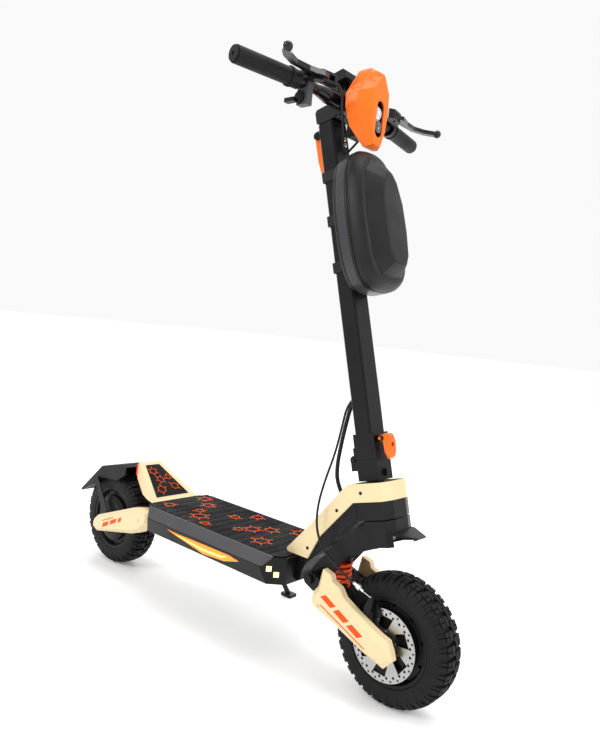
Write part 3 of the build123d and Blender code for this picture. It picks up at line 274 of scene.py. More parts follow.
tyre_rubber = finish_paint("tyre rubber", (0.0055, 0.0055, 0.0055), 0.6, grain=420, bump=0.4,
                           mottle=0.3, shine=0.22)
TYRE_RADIUS = 0.1275
TYRE_HALF_WIDTH = 0.036
TREAD_DEPTH = 0.0062
BLOCK_REACH = 0.0355
BLOCK_ROOT = 0.0012
SMOOTH_BELOW = radians(38)
FRONT_AXLE_X = 0.470
REAR_AXLE_X = -0.450
TREAD_PITCHES = 30
# Carcass section as (across, out from the axle), from the middle of the tread to the bead.
TREAD_SECTION = [(0, 0.1275), (0.015, 0.1274), (0.021, 0.1263), (0.027, 0.1234), (0.0318, 0.1185),
                 (0.0348, 0.1125), (0.0358, 0.106)]
WALL_SECTION = [(0.0352, 0.100), (0.0348, 0.0975), (0.0352, 0.095), (0.0346, 0.0925), (0.0338, 0.0895),
                (0.0342, 0.0875), (0.0325, 0.0852), (0.030, 0.0838), (0.0285, 0.083)]


def tread_height(across):
    """How far the tread's outside is from the axle, at this distance from the middle."""
    across = abs(across)
    for (y_low, r_low), (y_high, r_high) in zip(TREAD_SECTION, TREAD_SECTION[1:]):
        if across <= y_high:
            return r_low + (r_high - r_low) * (across - y_low) / (y_high - y_low)
    return TREAD_SECTION[-1][1]


def carcass_mesh(name, axle):
    """The tyre without its blocks, turned about its axle."""
    outer = [(y, r - TREAD_DEPTH * (1 - 0.35 * (y / TYRE_HALF_WIDTH) ** 4)) for y, r in TREAD_SECTION]
    outer[-1] = (outer[-1][0] - 0.0012, outer[-1][1])
    half = outer + WALL_SECTION
    section = [(-y, r) for y, r in reversed(half[1:])] + half
    inner = [(0.0255, 0.0835), (0.030, 0.092), (0.0305, 0.106), (0.024, 0.117), (0, 0.1195)]
    section += inner + [(-y, r) for y, r in reversed(inner[:-1])]
    turns = 120
    points = []
    for step in range(turns):
        angle = 2 * pi * step / turns
        points += [(axle[0] + r * cos(angle), axle[1] + y, axle[2] + r * sin(angle)) for y, r in section]
    count = len(section)
    faces = []
    for step in range(turns):
        after = (step + 1) % turns
        for k in range(count):
            near = (k + 1) % count
            faces.append((step * count + k, step * count + near, after * count + near, after * count + k))
    tyre = mesh_object(name, points, faces, tyre_rubber)
    outwards(tyre)
    return tyre


def turn_faces_out(mesh, merge=False):
    """Turns every face of the mesh outwards, with its doubles merged first where that is asked for."""
    work = bmesh.new()
    work.from_mesh(mesh)
    if merge:
        bmesh.ops.remove_doubles(work, verts=work.verts, dist=1e-6)
    bmesh.ops.recalc_face_normals(work, faces=work.faces)
    work.to_mesh(mesh)
    work.free()


def outwards(thing):
    """Merges doubles, turns every face outwards and shades the gentle edges smooth."""
    turn_faces_out(thing.data, merge=True)
    thing.data.shade_smooth()
    thing.data.set_sharp_from_angle(angle=SMOOTH_BELOW)


def ring_faces(first, count, levels):
    """The faces between rings of points that lie one after another, each ring with this many points."""
    faces = []
    for level in range(levels):
        low = first + level * count
        for k in range(count):
            near = (k + 1) % count
            faces.append((low + k, low + near, low + count + near, low + count + k))
    return faces


def end_faces(first, count, levels):
    """The flat faces that close such a row of rings at its two ends."""
    last = first + levels * count
    return [tuple(first + k for k in reversed(range(count))), tuple(last + k for k in range(count))]


def block_points(outline):
    """A tread block's faces, from its outline of (along, across) points in metres on the tread."""
    middle = (sum(a for a, _ in outline) / len(outline), sum(b for _, b in outline) / len(outline))
    rings = []
    for depth, shrink in ((TREAD_DEPTH + BLOCK_ROOT, 1.06), (0.0007, 0.97), (0, 0.90)):
        ring = []
        for along, across in outline:
            a = middle[0] + (along - middle[0]) * shrink
            b = middle[1] + (across - middle[1]) * shrink
            b = max(-BLOCK_REACH, min(BLOCK_REACH, b))
            radius = tread_height(b) - depth
            turn = a / TYRE_RADIUS
            ring.append((radius * cos(turn), b, radius * sin(turn)))
        rings.append(ring)
    return rings


def tread_pitch():
    """One repeat of the tread: two zigzag rows in the middle, a row beside each, and shoulder lugs."""
    pitch = 2 * pi * TYRE_RADIUS / TREAD_PITCHES
    outlines = []
    for side in (-1, 1):
        shift = 0 if side < 0 else pitch / 2
        middle_block = [(-0.0098, 0.0010), (-0.0035, 0.0032), (0.0035, 0.0010), (0.0098, 0.0032),
                        (0.0098, 0.0100), (0.0050, 0.0118), (-0.0060, 0.0100), (-0.0098, 0.0118)]
        half_sipes = [(-0.0098, 0.0138), (-0.0050, 0.0120), (-0.0010, 0.0132),
                      (-0.0010, 0.0238), (-0.0088, 0.0228)]
        other_half = [(0.0006, 0.0130), (0.0052, 0.0136), (0.0098, 0.0120),
                      (0.0090, 0.0232), (0.0006, 0.0238)]
        shoulder = [(-0.0092, 0.0254), (0.0006, 0.0262), (0.0006, 0.0345),
                    (-0.0062, 0.0345), (-0.0092, 0.0310)]
        lug = [(0.0028, 0.0262), (0.0096, 0.0250), (0.0090, 0.0325), (0.0060, 0.0352), (0.0028, 0.0352)]
        for block in (middle_block, half_sipes, other_half, shoulder, lug):
            outlines.append([(a + shift, side * b) for a, b in block])
    points, faces = [], []
    for outline in outlines:
        first = len(points)
        rings = block_points(outline)
        count = len(outline)
        for ring in rings:
            points += ring
        faces += ring_faces(first, count, 2)
        faces.append(tuple(first + 2 * count + k for k in range(count)))
        faces.append(tuple(first + k for k in reversed(range(count))))
    mesh = bpy.data.meshes.new("tread_pitch")
    mesh.from_pydata(points, [], faces)
    turn_faces_out(mesh)
    return mesh


def ring_tree():
    """Geometry nodes: the piece itself is repeated in equal steps round an axle along Y."""
    tree = bpy.data.node_groups.new("repeat round an axle", "GeometryNodeTree")
    tree.is_modifier = True
    sides = tree.interface
    sides.new_socket("Geometry", in_out="INPUT", socket_type="NodeSocketGeometry")
    sides.new_socket("Count", in_out="INPUT", socket_type="NodeSocketInt")
    sides.new_socket("Axle", in_out="INPUT", socket_type="NodeSocketVector")
    sides.new_socket("Finish", in_out="INPUT", socket_type="NodeSocketMaterial")
    sides.new_socket("Geometry", in_out="OUTPUT", socket_type="NodeSocketGeometry")
    group_in = tree.nodes.new("NodeGroupInput")
    group_out = tree.nodes.new("NodeGroupOutput")
    dots = tree.nodes.new("GeometryNodePoints")
    number = tree.nodes.new("GeometryNodeInputIndex")
    turn = tree.nodes.new("ShaderNodeMath")
    turn.operation = "MULTIPLY"
    step = tree.nodes.new("ShaderNodeMath")
    step.operation = "DIVIDE"
    step.inputs[0].default_value = 2 * pi
    angles = tree.nodes.new("ShaderNodeCombineXYZ")
    copies = tree.nodes.new("GeometryNodeInstanceOnPoints")
    real = tree.nodes.new("GeometryNodeRealizeInstances")
    dress = tree.nodes.new("GeometryNodeSetMaterial")
    join = tree.links.new
    join(group_in.outputs["Count"], dots.inputs["Count"])
    join(group_in.outputs["Axle"], dots.inputs["Position"])
    join(group_in.outputs["Count"], step.inputs[1])
    join(number.outputs["Index"], turn.inputs[0])
    join(step.outputs["Value"], turn.inputs[1])
    join(turn.outputs["Value"], angles.inputs["Y"])
    join(dots.outputs["Points"], copies.inputs["Points"])
    join(group_in.outputs["Geometry"], copies.inputs["Instance"])
    join(angles.outputs["Vector"], copies.inputs["Rotation"])
    join(copies.outputs["Instances"], real.inputs["Geometry"])
    join(real.outputs["Geometry"], dress.inputs["Geometry"])
    join(group_in.outputs["Finish"], dress.inputs["Material"])
    join(dress.outputs["Geometry"], group_out.inputs["Geometry"])
    return tree


def set_input(modifier, name, value):
    for item in modifier.node_group.interface.items_tree:
        if item.name == name and item.in_out == "INPUT":
            modifier[item.identifier] = value


def settled(thing, name):
    """The evaluated piece as a plain mesh object, in place of the one with the modifier."""
    bpy.context.view_layer.update()
    seen = thing.evaluated_get(bpy.context.evaluated_depsgraph_get())
    mesh = bpy.data.meshes.new_from_object(seen)
    mesh.name = name
    plain = bpy.data.objects.new(name, mesh)
    bpy.context.scene.collection.objects.link(plain)
    bpy.data.objects.remove(thing)
    return plain


round_axle = ring_tree()
for end, axle_x in (("front", FRONT_AXLE_X), ("rear", REAR_AXLE_X)):
    axle = (axle_x, 0, TYRE_RADIUS)
    carcass = carcass_mesh(f"{end}_tyre_carcass", axle)
    tread = bpy.data.objects.new(f"{end}_tread_maker", tread_pitch())
    bpy.context.scene.collection.objects.link(tread)
    repeat = tread.modifiers.new("blocks", "NODES")
    repeat.node_group = round_axle
    set_input(repeat, "Count", TREAD_PITCHES)
    set_input(repeat, "Axle", axle)
    set_input(repeat, "Finish", tyre_rubber)
    tread = settled(tread, f"{end}_tyre_tread")
    for piece in (carcass, tread):
        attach(piece, f"{end}_wheel")
        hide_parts(f"{end}_tyre")


# ---- Deck mat ----
# One sheet of black silicone rubber with rows of low wavy ribs, and the ramp's inset of the same. An
# orange net of plain hexagons and short arms is moulded in, a hair above the ribs.

mat_rubber = finish_paint("mat rubber", (0.004, 0.004, 0.0045), 0.6, grain=1200, bump=0.3, shine=0.12)
orange_print = finish_paint("orange print", (0.72, 0.08, 0.006), 0.5, mottle=0.05, shine=0.15)
paint(mat_rubber, "deck_mats")


def line_tree():
    """Geometry nodes: the piece itself is repeated in equal steps along a line."""
    tree = bpy.data.node_groups.new("repeat along a line", "GeometryNodeTree")
    tree.is_modifier = True
    sides = tree.interface
    sides.new_socket("Geometry", in_out="INPUT", socket_type="NodeSocketGeometry")
    sides.new_socket("Count", in_out="INPUT", socket_type="NodeSocketInt")
    sides.new_socket("Start", in_out="INPUT", socket_type="NodeSocketVector")
    sides.new_socket("Step", in_out="INPUT", socket_type="NodeSocketVector")
    sides.new_socket("Finish", in_out="INPUT", socket_type="NodeSocketMaterial")
    sides.new_socket("Geometry", in_out="OUTPUT", socket_type="NodeSocketGeometry")
    group_in = tree.nodes.new("NodeGroupInput")
    group_out = tree.nodes.new("NodeGroupOutput")
    places = tree.nodes.new("GeometryNodeMeshLine")
    copies = tree.nodes.new("GeometryNodeInstanceOnPoints")
    real = tree.nodes.new("GeometryNodeRealizeInstances")
    dress = tree.nodes.new("GeometryNodeSetMaterial")
    join = tree.links.new
    join(group_in.outputs["Count"], places.inputs["Count"])
    join(group_in.outputs["Start"], places.inputs["Start Location"])
    join(group_in.outputs["Step"], places.inputs["Offset"])
    join(places.outputs["Mesh"], copies.inputs["Points"])
    join(group_in.outputs["Geometry"], copies.inputs["Instance"])
    join(copies.outputs["Instances"], real.inputs["Geometry"])
    join(real.outputs["Geometry"], dress.inputs["Geometry"])
    join(group_in.outputs["Finish"], dress.inputs["Material"])
    join(dress.outputs["Geometry"], group_out.inputs["Geometry"])
    return tree


along_line = line_tree()


def repeated(thing, name, tree, **values):
    """The piece repeated by one of the trees, as a plain mesh. Each value is one of the tree's inputs."""
    repeat = thing.modifiers.new("repeat", "NODES")
    repeat.node_group = tree
    for label, value in values.items():
        set_input(repeat, label, value)
    return settled(thing, name)


def ribbon(path, half_width, low, high, closed=False):
    """The faces of a low ridge with sloping sides that follows a path of (x, y) points."""
    points, faces = [], []
    count = len(path)
    for k, (x, y) in enumerate(path):
        before = path[k - 1] if closed or k else path[k]
        after = path[(k + 1) % count] if closed or k < count - 1 else path[k]
        run = Vector((after[0] - before[0], after[1] - before[1])).normalized()
        side = Vector((-run.y, run.x)) * half_width
        points += [(x + side.x, y + side.y, low), (x + side.x * 0.55, y + side.y * 0.55, high),
                   (x - side.x * 0.55, y - side.y * 0.55, high), (x - side.x, y - side.y, low)]
    for k in range(count if closed else count - 1):
        here, there = 4 * k, 4 * ((k + 1) % count)
        for j in range(4):
            near = (j + 1) % 4
            faces.append((here + j, here + near, there + near, there + j))
    if not closed:
        faces += [(3, 2, 1, 0), tuple(4 * (count - 1) + j for j in range(4))]
    return points, faces


MAT_TOP = 0.234
RIB_PITCH = 0.0078
RIB_COUNT = 25
HEXAGON_ARM = 0.62
wave = [(-0.212 + 0.004 * k, 0.0016 * sin(2 * pi * k / 7)) for k in range(105)]
rib_points, rib_faces = ribbon(wave, 0.0021, MAT_TOP - 0.0006, MAT_TOP + 0.0011)
rib = mesh_object("mat_rib_maker", rib_points, rib_faces)
outwards(rib)
ribs = repeated(rib, "mat_ribs", along_line, Count=RIB_COUNT, Start=(0, -(RIB_COUNT // 2) * RIB_PITCH, 0),
                Step=(0, RIB_PITCH, 0), Finish=mat_rubber)
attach(ribs, "deck")


def hexagon_net(centre, radius, arms, turn=0.0):
    """A hexagon's outline and some short arms from its corners, as paths."""
    corners = [(centre[0] + radius * cos(turn + pi * k / 3), centre[1] + radius * sin(turn + pi * k / 3))
               for k in range(6)]
    paths = [(corners, True)]
    for k in arms:
        a = turn + pi * k / 3
        x, y = corners[k]
        tip = (x + HEXAGON_ARM * radius * cos(a), y + HEXAGON_ARM * radius * sin(a))
        paths.append(([corners[k], tip], False))
    return paths


def raised_lines(name, paths, half_width, low, high, material):
    """Low ridges along all of these paths, as one piece."""
    points, faces = [], []
    for path, closed in paths:
        more_points, more_faces = ribbon(path, half_width, low, high, closed)
        first = len(points)
        points += more_points
        faces += [tuple(first + k for k in face) for face in more_faces]
    thing = mesh_object(name, points, faces, material)
    turn_faces_out(thing.data)
    return thing


nets = []
for centre, radius, arms, turn in (
    ((0.140, -0.052), 0.017, range(6), 0.2), ((0.070, -0.010), 0.016, range(6), 0.5),
    ((0.098, 0.022), 0.015, (0, 1, 2, 5), 0.3), ((0.052, -0.038), 0.010, (2, 3, 4), 0.1),
    ((-0.020, 0.020), 0.012, (0, 2, 3, 5), 0.4), ((-0.070, -0.050), 0.017, range(6), 0.3),
    ((-0.104, -0.020), 0.011, (1, 2, 4), 0.0), ((-0.130, 0.030), 0.014, (0, 1, 3, 4), 0.2),
    ((-0.182, -0.052), 0.013, (1, 3, 5), 0.1), ((-0.180, 0.062), 0.015, range(6), 0.4),
    ((0.010, 0.068), 0.014, (0, 2, 4, 5), 0.2), ((0.150, 0.066), 0.016, range(6), 0.1),
    ((-0.020, -0.076), 0.010, (0, 3), 0.3),
):
    nets += hexagon_net(centre, radius, arms, turn)
net = raised_lines("mat_orange_net", nets, 0.0016, MAT_TOP - 0.0004, MAT_TOP + 0.0015, orange_print)
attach(net, "deck")

# The ramp's inset: the same net on the sloping kickplate, laid in the plane of its face.
RAMP_FOOT = Vector((-0.228, 0, MAT_TOP))
RAMP_TURN = atan2(0.307 - 0.234, 0.345 - 0.228)
ramp_nets = []
for centre, radius, arms, turn in (
    ((0.034, -0.022), 0.012, (0, 1, 3, 4), 0.2), ((0.068, -0.006), 0.010, range(6), 0.4),
    ((0.100, -0.012), 0.010, range(6), 0.1), ((0.040, 0.024), 0.011, (1, 2, 5), 0.3),
    ((0.074, 0.022), 0.008, (0, 2, 4), 0.0),
):
    ramp_nets += hexagon_net(centre, radius, arms, turn)
ramp_net = raised_lines("ramp_orange_net", ramp_nets, 0.0012, 0.0006, 0.0019, orange_print)
ramp_net.data.transform(Matrix.Translation(RAMP_FOOT) @ Matrix.Rotation(RAMP_TURN, 4, "Y")
                        @ Matrix.Scale(-1, 4, (1, 0, 0)))
ramp_net.data.flip_normals()
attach(ramp_net, "deck")


# ---- Stem bag ----
# A hard bag of pressed foam and black cloth: a back shell with a band of woven carbon pattern, a domed lid
# with a raised faceted panel, a piped zip between them, and three web straps round the stem.

RAKE = radians(16)
HEAD_POINT = Vector((0.384, 0, 0.415))


def on_stem(out, across, up):
    """A point from its distances in front of the stem's line, to the left of it and along it."""
    return Vector((HEAD_POINT.x + out * cos(RAKE) - up * sin(RAKE), across,
                   HEAD_POINT.z + out * sin(RAKE) + up * cos(RAKE)))


cable_sheath = finish_paint("cable sheath", (0.004, 0.004, 0.004), 0.4, shine=0.3)
bag_cloth = finish_paint("bag cloth", (0.0045, 0.0045, 0.005), 0.42, grain=2400, bump=0.5, mottle=0.2,
                         shine=0.3)
paint(bag_cloth, "bag_straps")
carbon_cloth, carbon_tree, carbon_links = principled("carbon weave")
carbon_shader = carbon_tree["Principled BSDF"]
carbon_shader.inputs["Roughness"].default_value = 0.28
carbon_shader.inputs["Specular IOR Level"].default_value = 0.5
carbon_place = carbon_tree.new("ShaderNodeTexCoord")
carbon_squares = carbon_tree.new("ShaderNodeTexChecker")
carbon_squares.inputs["Scale"].default_value = 420
carbon_squares.inputs["Color1"].default_value = (0.006, 0.006, 0.007, 1)
carbon_squares.inputs["Color2"].default_value = (0.045, 0.045, 0.05, 1)
carbon_links.new(carbon_place.outputs["Object"], carbon_squares.inputs["Vector"])
carbon_links.new(carbon_squares.outputs["Color"], carbon_shader.inputs["Base Color"])
carbon_lift = carbon_tree.new("ShaderNodeBump")
carbon_lift.inputs["Strength"].default_value = 0.5
carbon_lift.inputs["Distance"].default_value = 0.0005
carbon_links.new(carbon_squares.outputs["Fac"], carbon_lift.inputs["Height"])
carbon_links.new(carbon_lift.outputs["Normal"], carbon_shader.inputs["Normal"])

# The bag's outline as (across, along the stem), in metres, from the foot round to the left.
BAG_OUTLINE = [(0, 0.376), (0.030, 0.378), (0.058, 0.392), (0.074, 0.430), (0.0795, 0.485), (0.0785, 0.545),
               (0.070, 0.600), (0.055, 0.638), (0.032, 0.662), (0, 0.668)]
BAG_MIDDLE = 0.515
BAG_STEPS = 72


def bag_outline_at(turn):
    """The outline's point at this share of the way round, on a smooth line through its points."""
    ring = BAG_OUTLINE + [(-across, up) for across, up in reversed(BAG_OUTLINE[1:-1])]
    count = len(ring)
    whole = int(turn * count)
    part = turn * count - whole
    p = [Vector(ring[(whole + k) % count]) for k in (-1, 0, 1, 2)]
    return 0.5 * (2 * p[1] + (p[2] - p[0]) * part + (2 * p[0] - 5 * p[1] + 4 * p[2] - p[3]) * part ** 2
                  + (3 * p[1] - p[0] - 3 * p[2] + p[3]) * part ** 3)


def bag_skin(name, layers, material):
    """A closed skin through rings of the outline, each (out, wide, tall), capped at its ends."""
    points, faces = [], []
    for out, wide, tall in layers:
        for k in range(BAG_STEPS):
            across, up = bag_outline_at(k / BAG_STEPS)
            points.append(on_stem(out, across * wide, BAG_MIDDLE + (up - BAG_MIDDLE) * tall))
    faces += ring_faces(0, BAG_STEPS, len(layers) - 1)
    first, last = layers[0], layers[-1]
    points += [on_stem(first[0], 0, BAG_MIDDLE), on_stem(last[0], 0, BAG_MIDDLE)]
    top = (len(layers) - 1) * BAG_STEPS
    for k in range(BAG_STEPS):
        near = (k + 1) % BAG_STEPS
        faces.append((k, len(points) - 2, near))
        faces.append((top + k, top + near, len(points) - 1))
    thing = mesh_object(name, points, faces, material)
    outwards(thing)
    return thing


BACK_LAYERS = [(0.029, 0.86, 0.90), (0.0285, 0.93, 0.95), (0.031, 0.965, 0.975), (0.036, 0.985, 0.988),
               (0.0385, 0.978, 0.984)]
BAND_LAYERS = [(0.0382, 0.976, 0.982), (0.0388, 0.986, 0.989), (0.049, 0.995, 0.995), (0.0592, 0.986, 0.989),
               (0.0598, 0.976, 0.982)]
ZIP_LAYERS = [(0.0596, 0.978, 0.984), (0.0604, 0.992, 0.994), (0.0628, 0.999, 0.999), (0.0650, 0.992, 0.994),
              (0.0658, 0.978, 0.984)]
LID_LAYERS = [(0.0664, 0.96, 0.972), (0.0666, 0.988, 0.991), (0.0695, 0.999, 0.999), (0.0755, 0.992, 0.994),
              (0.084, 0.955, 0.966), (0.0915, 0.905, 0.93), (0.0955, 0.86, 0.895), (0.0965, 0.835, 0.875),
              (0.0975, 0.815, 0.86)]
for name, layers, cloth in (("bag_back_cloth", BACK_LAYERS, bag_cloth),
                            ("bag_carbon_band", BAND_LAYERS, carbon_cloth),
                            ("bag_zip", ZIP_LAYERS, cable_sheath)):
    piece = bag_skin(name, layers, cloth)
    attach(piece, "stem")
    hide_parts("bag_back_shell")
lid_cloth = bag_skin("bag_lid_cloth", LID_LAYERS, bag_cloth)
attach(lid_cloth, "bag_lid")
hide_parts("bag_lid")

# The raised panel on the lid: flat facets that slope from its edge up to a smaller flat top.
PANEL_EDGE = [(0, 0.398), (0.034, 0.402), (0.056, 0.428), (0.063, 0.490), (0.060, 0.560), (0.046, 0.612),
              (0.022, 0.640), (0, 0.644)]
PANEL_RIDGE = [(0, 0.418), (0.020, 0.421), (0.031, 0.440), (0.036, 0.490), (0.034, 0.548), (0.022, 0.590),
               (0.010, 0.606), (0, 0.608)]
panel_points = []
for line, depth, shrink in ((PANEL_EDGE, 0.0945, 1.0), (PANEL_EDGE, 0.0985, 1.0), (PANEL_RIDGE, 0.1235, 1.0),
                            (PANEL_RIDGE, 0.1245, 0.93)):
    ring = line + [(-across, up) for across, up in reversed(line[1:-1])]
    panel_points += [on_stem(depth, across * shrink, BAG_MIDDLE + (up - BAG_MIDDLE) * shrink)
                     for across, up in ring]
count = len(panel_points) // 4
panel_faces = ring_faces(0, count, 3)
panel_faces.append(tuple(3 * count + k for k in range(count)))
panel_faces.append(tuple(k for k in reversed(range(count))))
panel = mesh_object("bag_raised_panel", panel_points, panel_faces, bag_cloth)
outwards(panel)
soften = panel.modifiers.new("rounded edges", "BEVEL")
soften.width = 0.004
soften.segments = 3
soften.limit_method = "ANGLE"
soften.angle_limit = radians(12)
panel = settled(panel, "bag_raised_panel_soft")
panel.data.shade_smooth()
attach(panel, "bag_lid")


# ---- Grips ----
# Soft black rubber sleeves with fine rings and a flared inner end, and a round plug in each end.

grip_rubber = finish_paint("grip rubber", (0.004, 0.004, 0.004), 0.55, grain=1200, bump=0.5, shine=0.25)
paint(grip_rubber, "grips")


# ---- Cables ----
# Black sheathed cables that hang in slack curves: the loom from the stem into the neck, the front brake
# cable outside the neck to its caliper, and one brake cable from each lever into the top of the stem.

def cable_piece(name, route, diameter, material, body_a, body_b=None, blend_at=None, stiffness="medium"):
    """A round cable on a smooth line through the route's control points, as a mesh tube."""
    curve = bpy.data.curves.new(name + "_line", "CURVE")
    curve.dimensions = "3D"
    line = curve.splines.new("NURBS")
    line.points.add(len(route) - 1)
    for point, place in zip(line.points, route):
        point.co = (*place, 1)
    line.order_u = 3
    line.use_endpoint_u = True
    line.resolution_u = 10
    maker = bpy.data.objects.new(name + "_line", curve)
    bpy.context.scene.collection.objects.link(maker)
    bpy.context.view_layer.update()
    bare = bpy.data.meshes.new_from_object(maker.evaluated_get(bpy.context.evaluated_depsgraph_get()))
    bpy.data.meshes.remove(bare)
    curve.bevel_depth = diameter / 2
    curve.bevel_resolution = 3
    curve.use_fill_caps = True
    curve.materials.append(material)
    tube = settled(maker, name)
    tube.data.shade_smooth()
    if body_b is None:
        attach(tube, body_a)
    else:
        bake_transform(tube)
    return tube


# The loom is two lengths that meet behind the neck.
LOOM_TOP = [(0.3126, 0.007, 0.5775), (0.298, 0.008, 0.562), (0.291, 0.006, 0.519), (0.286, 0.003, 0.472),
            (0.2845, 0.002, 0.450)]
LOOM_FOOT = [(0.2845, 0.002, 0.450), (0.283, 0.001, 0.428), (0.289, 0, 0.392), (0.3106, 0, 0.3656)]
BRAKE_TOP = [(0.3144, -0.008, 0.5775), (0.303, -0.014, 0.560), (0.307, -0.029, 0.518), (0.310, -0.046, 0.466),
             (0.303, -0.061, 0.411), (0.297, -0.069, 0.359), (0.2985, -0.070, 0.338)]
BRAKE_FOOT = [(0.2985, -0.070, 0.338), (0.300, -0.071, 0.316), (0.314, -0.069, 0.282), (0.342, -0.066, 0.256),
              (0.382, -0.064, 0.236), (0.407, -0.063, 0.2268)]
RIGHT_BAR_ROUTE = [(0.251, -0.088, 1.188), (0.251, -0.071, 1.181), (0.243, -0.058, 1.160),
                   (0.237, -0.043, 1.133), (0.231, -0.025, 1.106), (0.2165, -0.010, 1.085)]
LEFT_BAR_ROUTE = [(0.251, 0.088, 1.188), (0.252, 0.070, 1.183), (0.244, 0.056, 1.163), (0.236, 0.040, 1.137),
                  (0.230, 0.023, 1.108), (0.2165, 0.010, 1.085)]
for name, route, diameter, bodies, blend_at, node in (
    ("loom_top", LOOM_TOP, 0.009, ("steering", "stem"), (LOOM_TOP[-1], LOOM_TOP[0]), "wire_loom"),
    ("loom_foot", LOOM_FOOT, 0.009, ("deck", "steering"), (LOOM_FOOT[-1], LOOM_FOOT[0]), "wire_loom"),
    ("front_brake_cable_top", BRAKE_TOP, 0.005, ("steering", "stem"), (BRAKE_TOP[-2], BRAKE_TOP[0]),
     "wire_loom"),
    ("front_brake_cable_foot", BRAKE_FOOT, 0.005, ("steering", "front_arm"), (BRAKE_FOOT[1], BRAKE_FOOT[-1]),
     "wire_loom"),
    ("right_bar_cable", RIGHT_BAR_ROUTE, 0.005, ("stem", "post"),
     ((0.224, -0.02, 1.100), (0.251, -0.07, 1.170)), "bar_cables"),
    ("left_bar_cable", LEFT_BAR_ROUTE, 0.005, ("stem", "post"),
     ((0.224, 0.02, 1.100), (0.251, 0.07, 1.170)), "bar_cables"),
):
    cable = cable_piece(name, route, diameter, cable_sheath, *bodies, blend_at)
    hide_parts(node)


# ---- Cable ends ----
# The front brake cable's sheath ends in a turned barrel adjuster of bright steel, with a raised collar,
# and the bare inner wire goes on to the caliper arm that it pulls.

def turned_along(name, start, end, section, material, steps=28):
    """A piece turned about the line from start to end, from (share of the line, radius) points."""
    start, end = Vector(start), Vector(end)
    run = end - start
    side = run.cross(Vector((0, 0, 1))).normalized()
    other = run.normalized().cross(side)
    points = []
    for share, radius in section:
        for k in range(steps):
            a = 2 * pi * k / steps
            points.append(start + run * share + side * (radius * cos(a)) + other * (radius * sin(a)))
    levels = len(section) - 1
    faces = ring_faces(0, steps, levels) + end_faces(0, steps, levels)
    thing = mesh_object(name, points, faces, material)
    outwards(thing)
    return thing


BARREL = [(0, 0.0030), (0.05, 0.0036), (0.34, 0.0036), (0.36, 0.0052), (0.44, 0.0055), (0.62, 0.0055),
          (0.70, 0.0052), (0.72, 0.0028), (1.0, 0.0026)]
CALIPER_TIP = Vector((0.4431, -0.0650, 0.2153))
barrel_start = Vector(BRAKE_FOOT[-1]) - Vector((0.008, -0.0003, -0.0031))
barrel_end = Vector((0.4240, -0.0634, 0.2205))
adjuster = turned_along("front_cable_barrel", barrel_start, barrel_end, BARREL, bright_steel)
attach(adjuster, "front_arm")
inner_wire = turned_along("front_inner_wire", barrel_end - Vector((0.002, 0, 0)), CALIPER_TIP,
                          [(k / 8, 0.0009) for k in range(9)], bright_steel, 10)
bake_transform(inner_wire)


# ---- Coil springs ----
# Coil springs with a thick orange-red enamel, each over a damper.

for end, joint, arm_seat in (("front", "front_suspension", (0.326, 0, 0.184)),
                             ("rear", "rear_suspension", (-0.288, 0, 0.172))):
    coil = bpy.data.objects.new(f"{end}_coil", nodes[f"{end}_spring"].data.copy())
    bpy.context.scene.collection.objects.link(coil)
    outwards(coil)
    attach(coil, f"{end}_arm")
    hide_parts(f"{end}_spring")
    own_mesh(coil)


# ---- Arm stripes ----
# Plain orange blocks and a thin line printed on the outside of each arm cover. They carry no words.

def cover_stripes(name, body, corners_list, face_y):
    """Thin plates just proud of the cover's outer face, on both sides of the scooter."""
    points, faces = [], []
    for side in (-1, 1):
        for corners in corners_list:
            first = len(points)
            for depth in (face_y - 0.0006, face_y + 0.0003):
                points += [(x, side * depth, z) for x, z in corners]
            faces += ring_faces(first, len(corners), 1) + end_faces(first, len(corners), 1)
    thing = mesh_object(name, points, faces, orange_print)
    turn_faces_out(thing.data)
    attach(thing, body)


def slanted(start, end, half_width, lean=0.004):
    """A stripe with slanted ends from start to end, as corners in X and Z."""
    run = (Vector(end) - Vector(start)).normalized()
    side = Vector((-run.y, run.x)) * half_width
    skew = run * lean
    return [tuple(Vector(start) + side + skew), tuple(Vector(end) + side + skew),
            tuple(Vector(end) - side - skew), tuple(Vector(start) - side - skew)]


COVER_FACE = 0.084
cover_stripes("front_cover_stripes", "front_arm", [
    slanted((0.345, 0.190), (0.372, 0.176), 0.0062), slanted((0.379, 0.1725), (0.406, 0.159), 0.0062),
    slanted((0.413, 0.1555), (0.440, 0.142), 0.0062), slanted((0.341, 0.170), (0.452, 0.124), 0.0011, 0.001),
], COVER_FACE)
cover_stripes("rear_cover_stripes", "rear_arm", [
    slanted((-0.418, 0.123), (-0.392, 0.135), 0.005), slanted((-0.384, 0.139), (-0.358, 0.151), 0.005),
    slanted((-0.350, 0.154), (-0.336, 0.160), 0.005),
    slanted((-0.420, 0.135), (-0.372, 0.156), 0.0012, 0.001),
], COVER_FACE)


# ---- Side lights and corner lamps ----
# Each amber side light has a bright bent tube behind its clear chevron. The deck's corners carry pale
# yellow square lamps in black frames, two to a corner.

lamp_core = lamp_glow("lamp core", (1.0, 0.66, 0.1), 1.6)
lamp_square = lamp_glow("lamp square", (1.0, 0.84, 0.32), 1.0)
WALL_TOP = (0.118, 0.209)
WALL_FOOT = (0.106, 0.1745)


def wall_reach(z):
    """How far the sloping side wall is from the middle plane at this height."""
    return WALL_FOOT[0] + (WALL_TOP[0] - WALL_FOOT[0]) * (z - WALL_FOOT[1]) / (WALL_TOP[1] - WALL_FOOT[1])


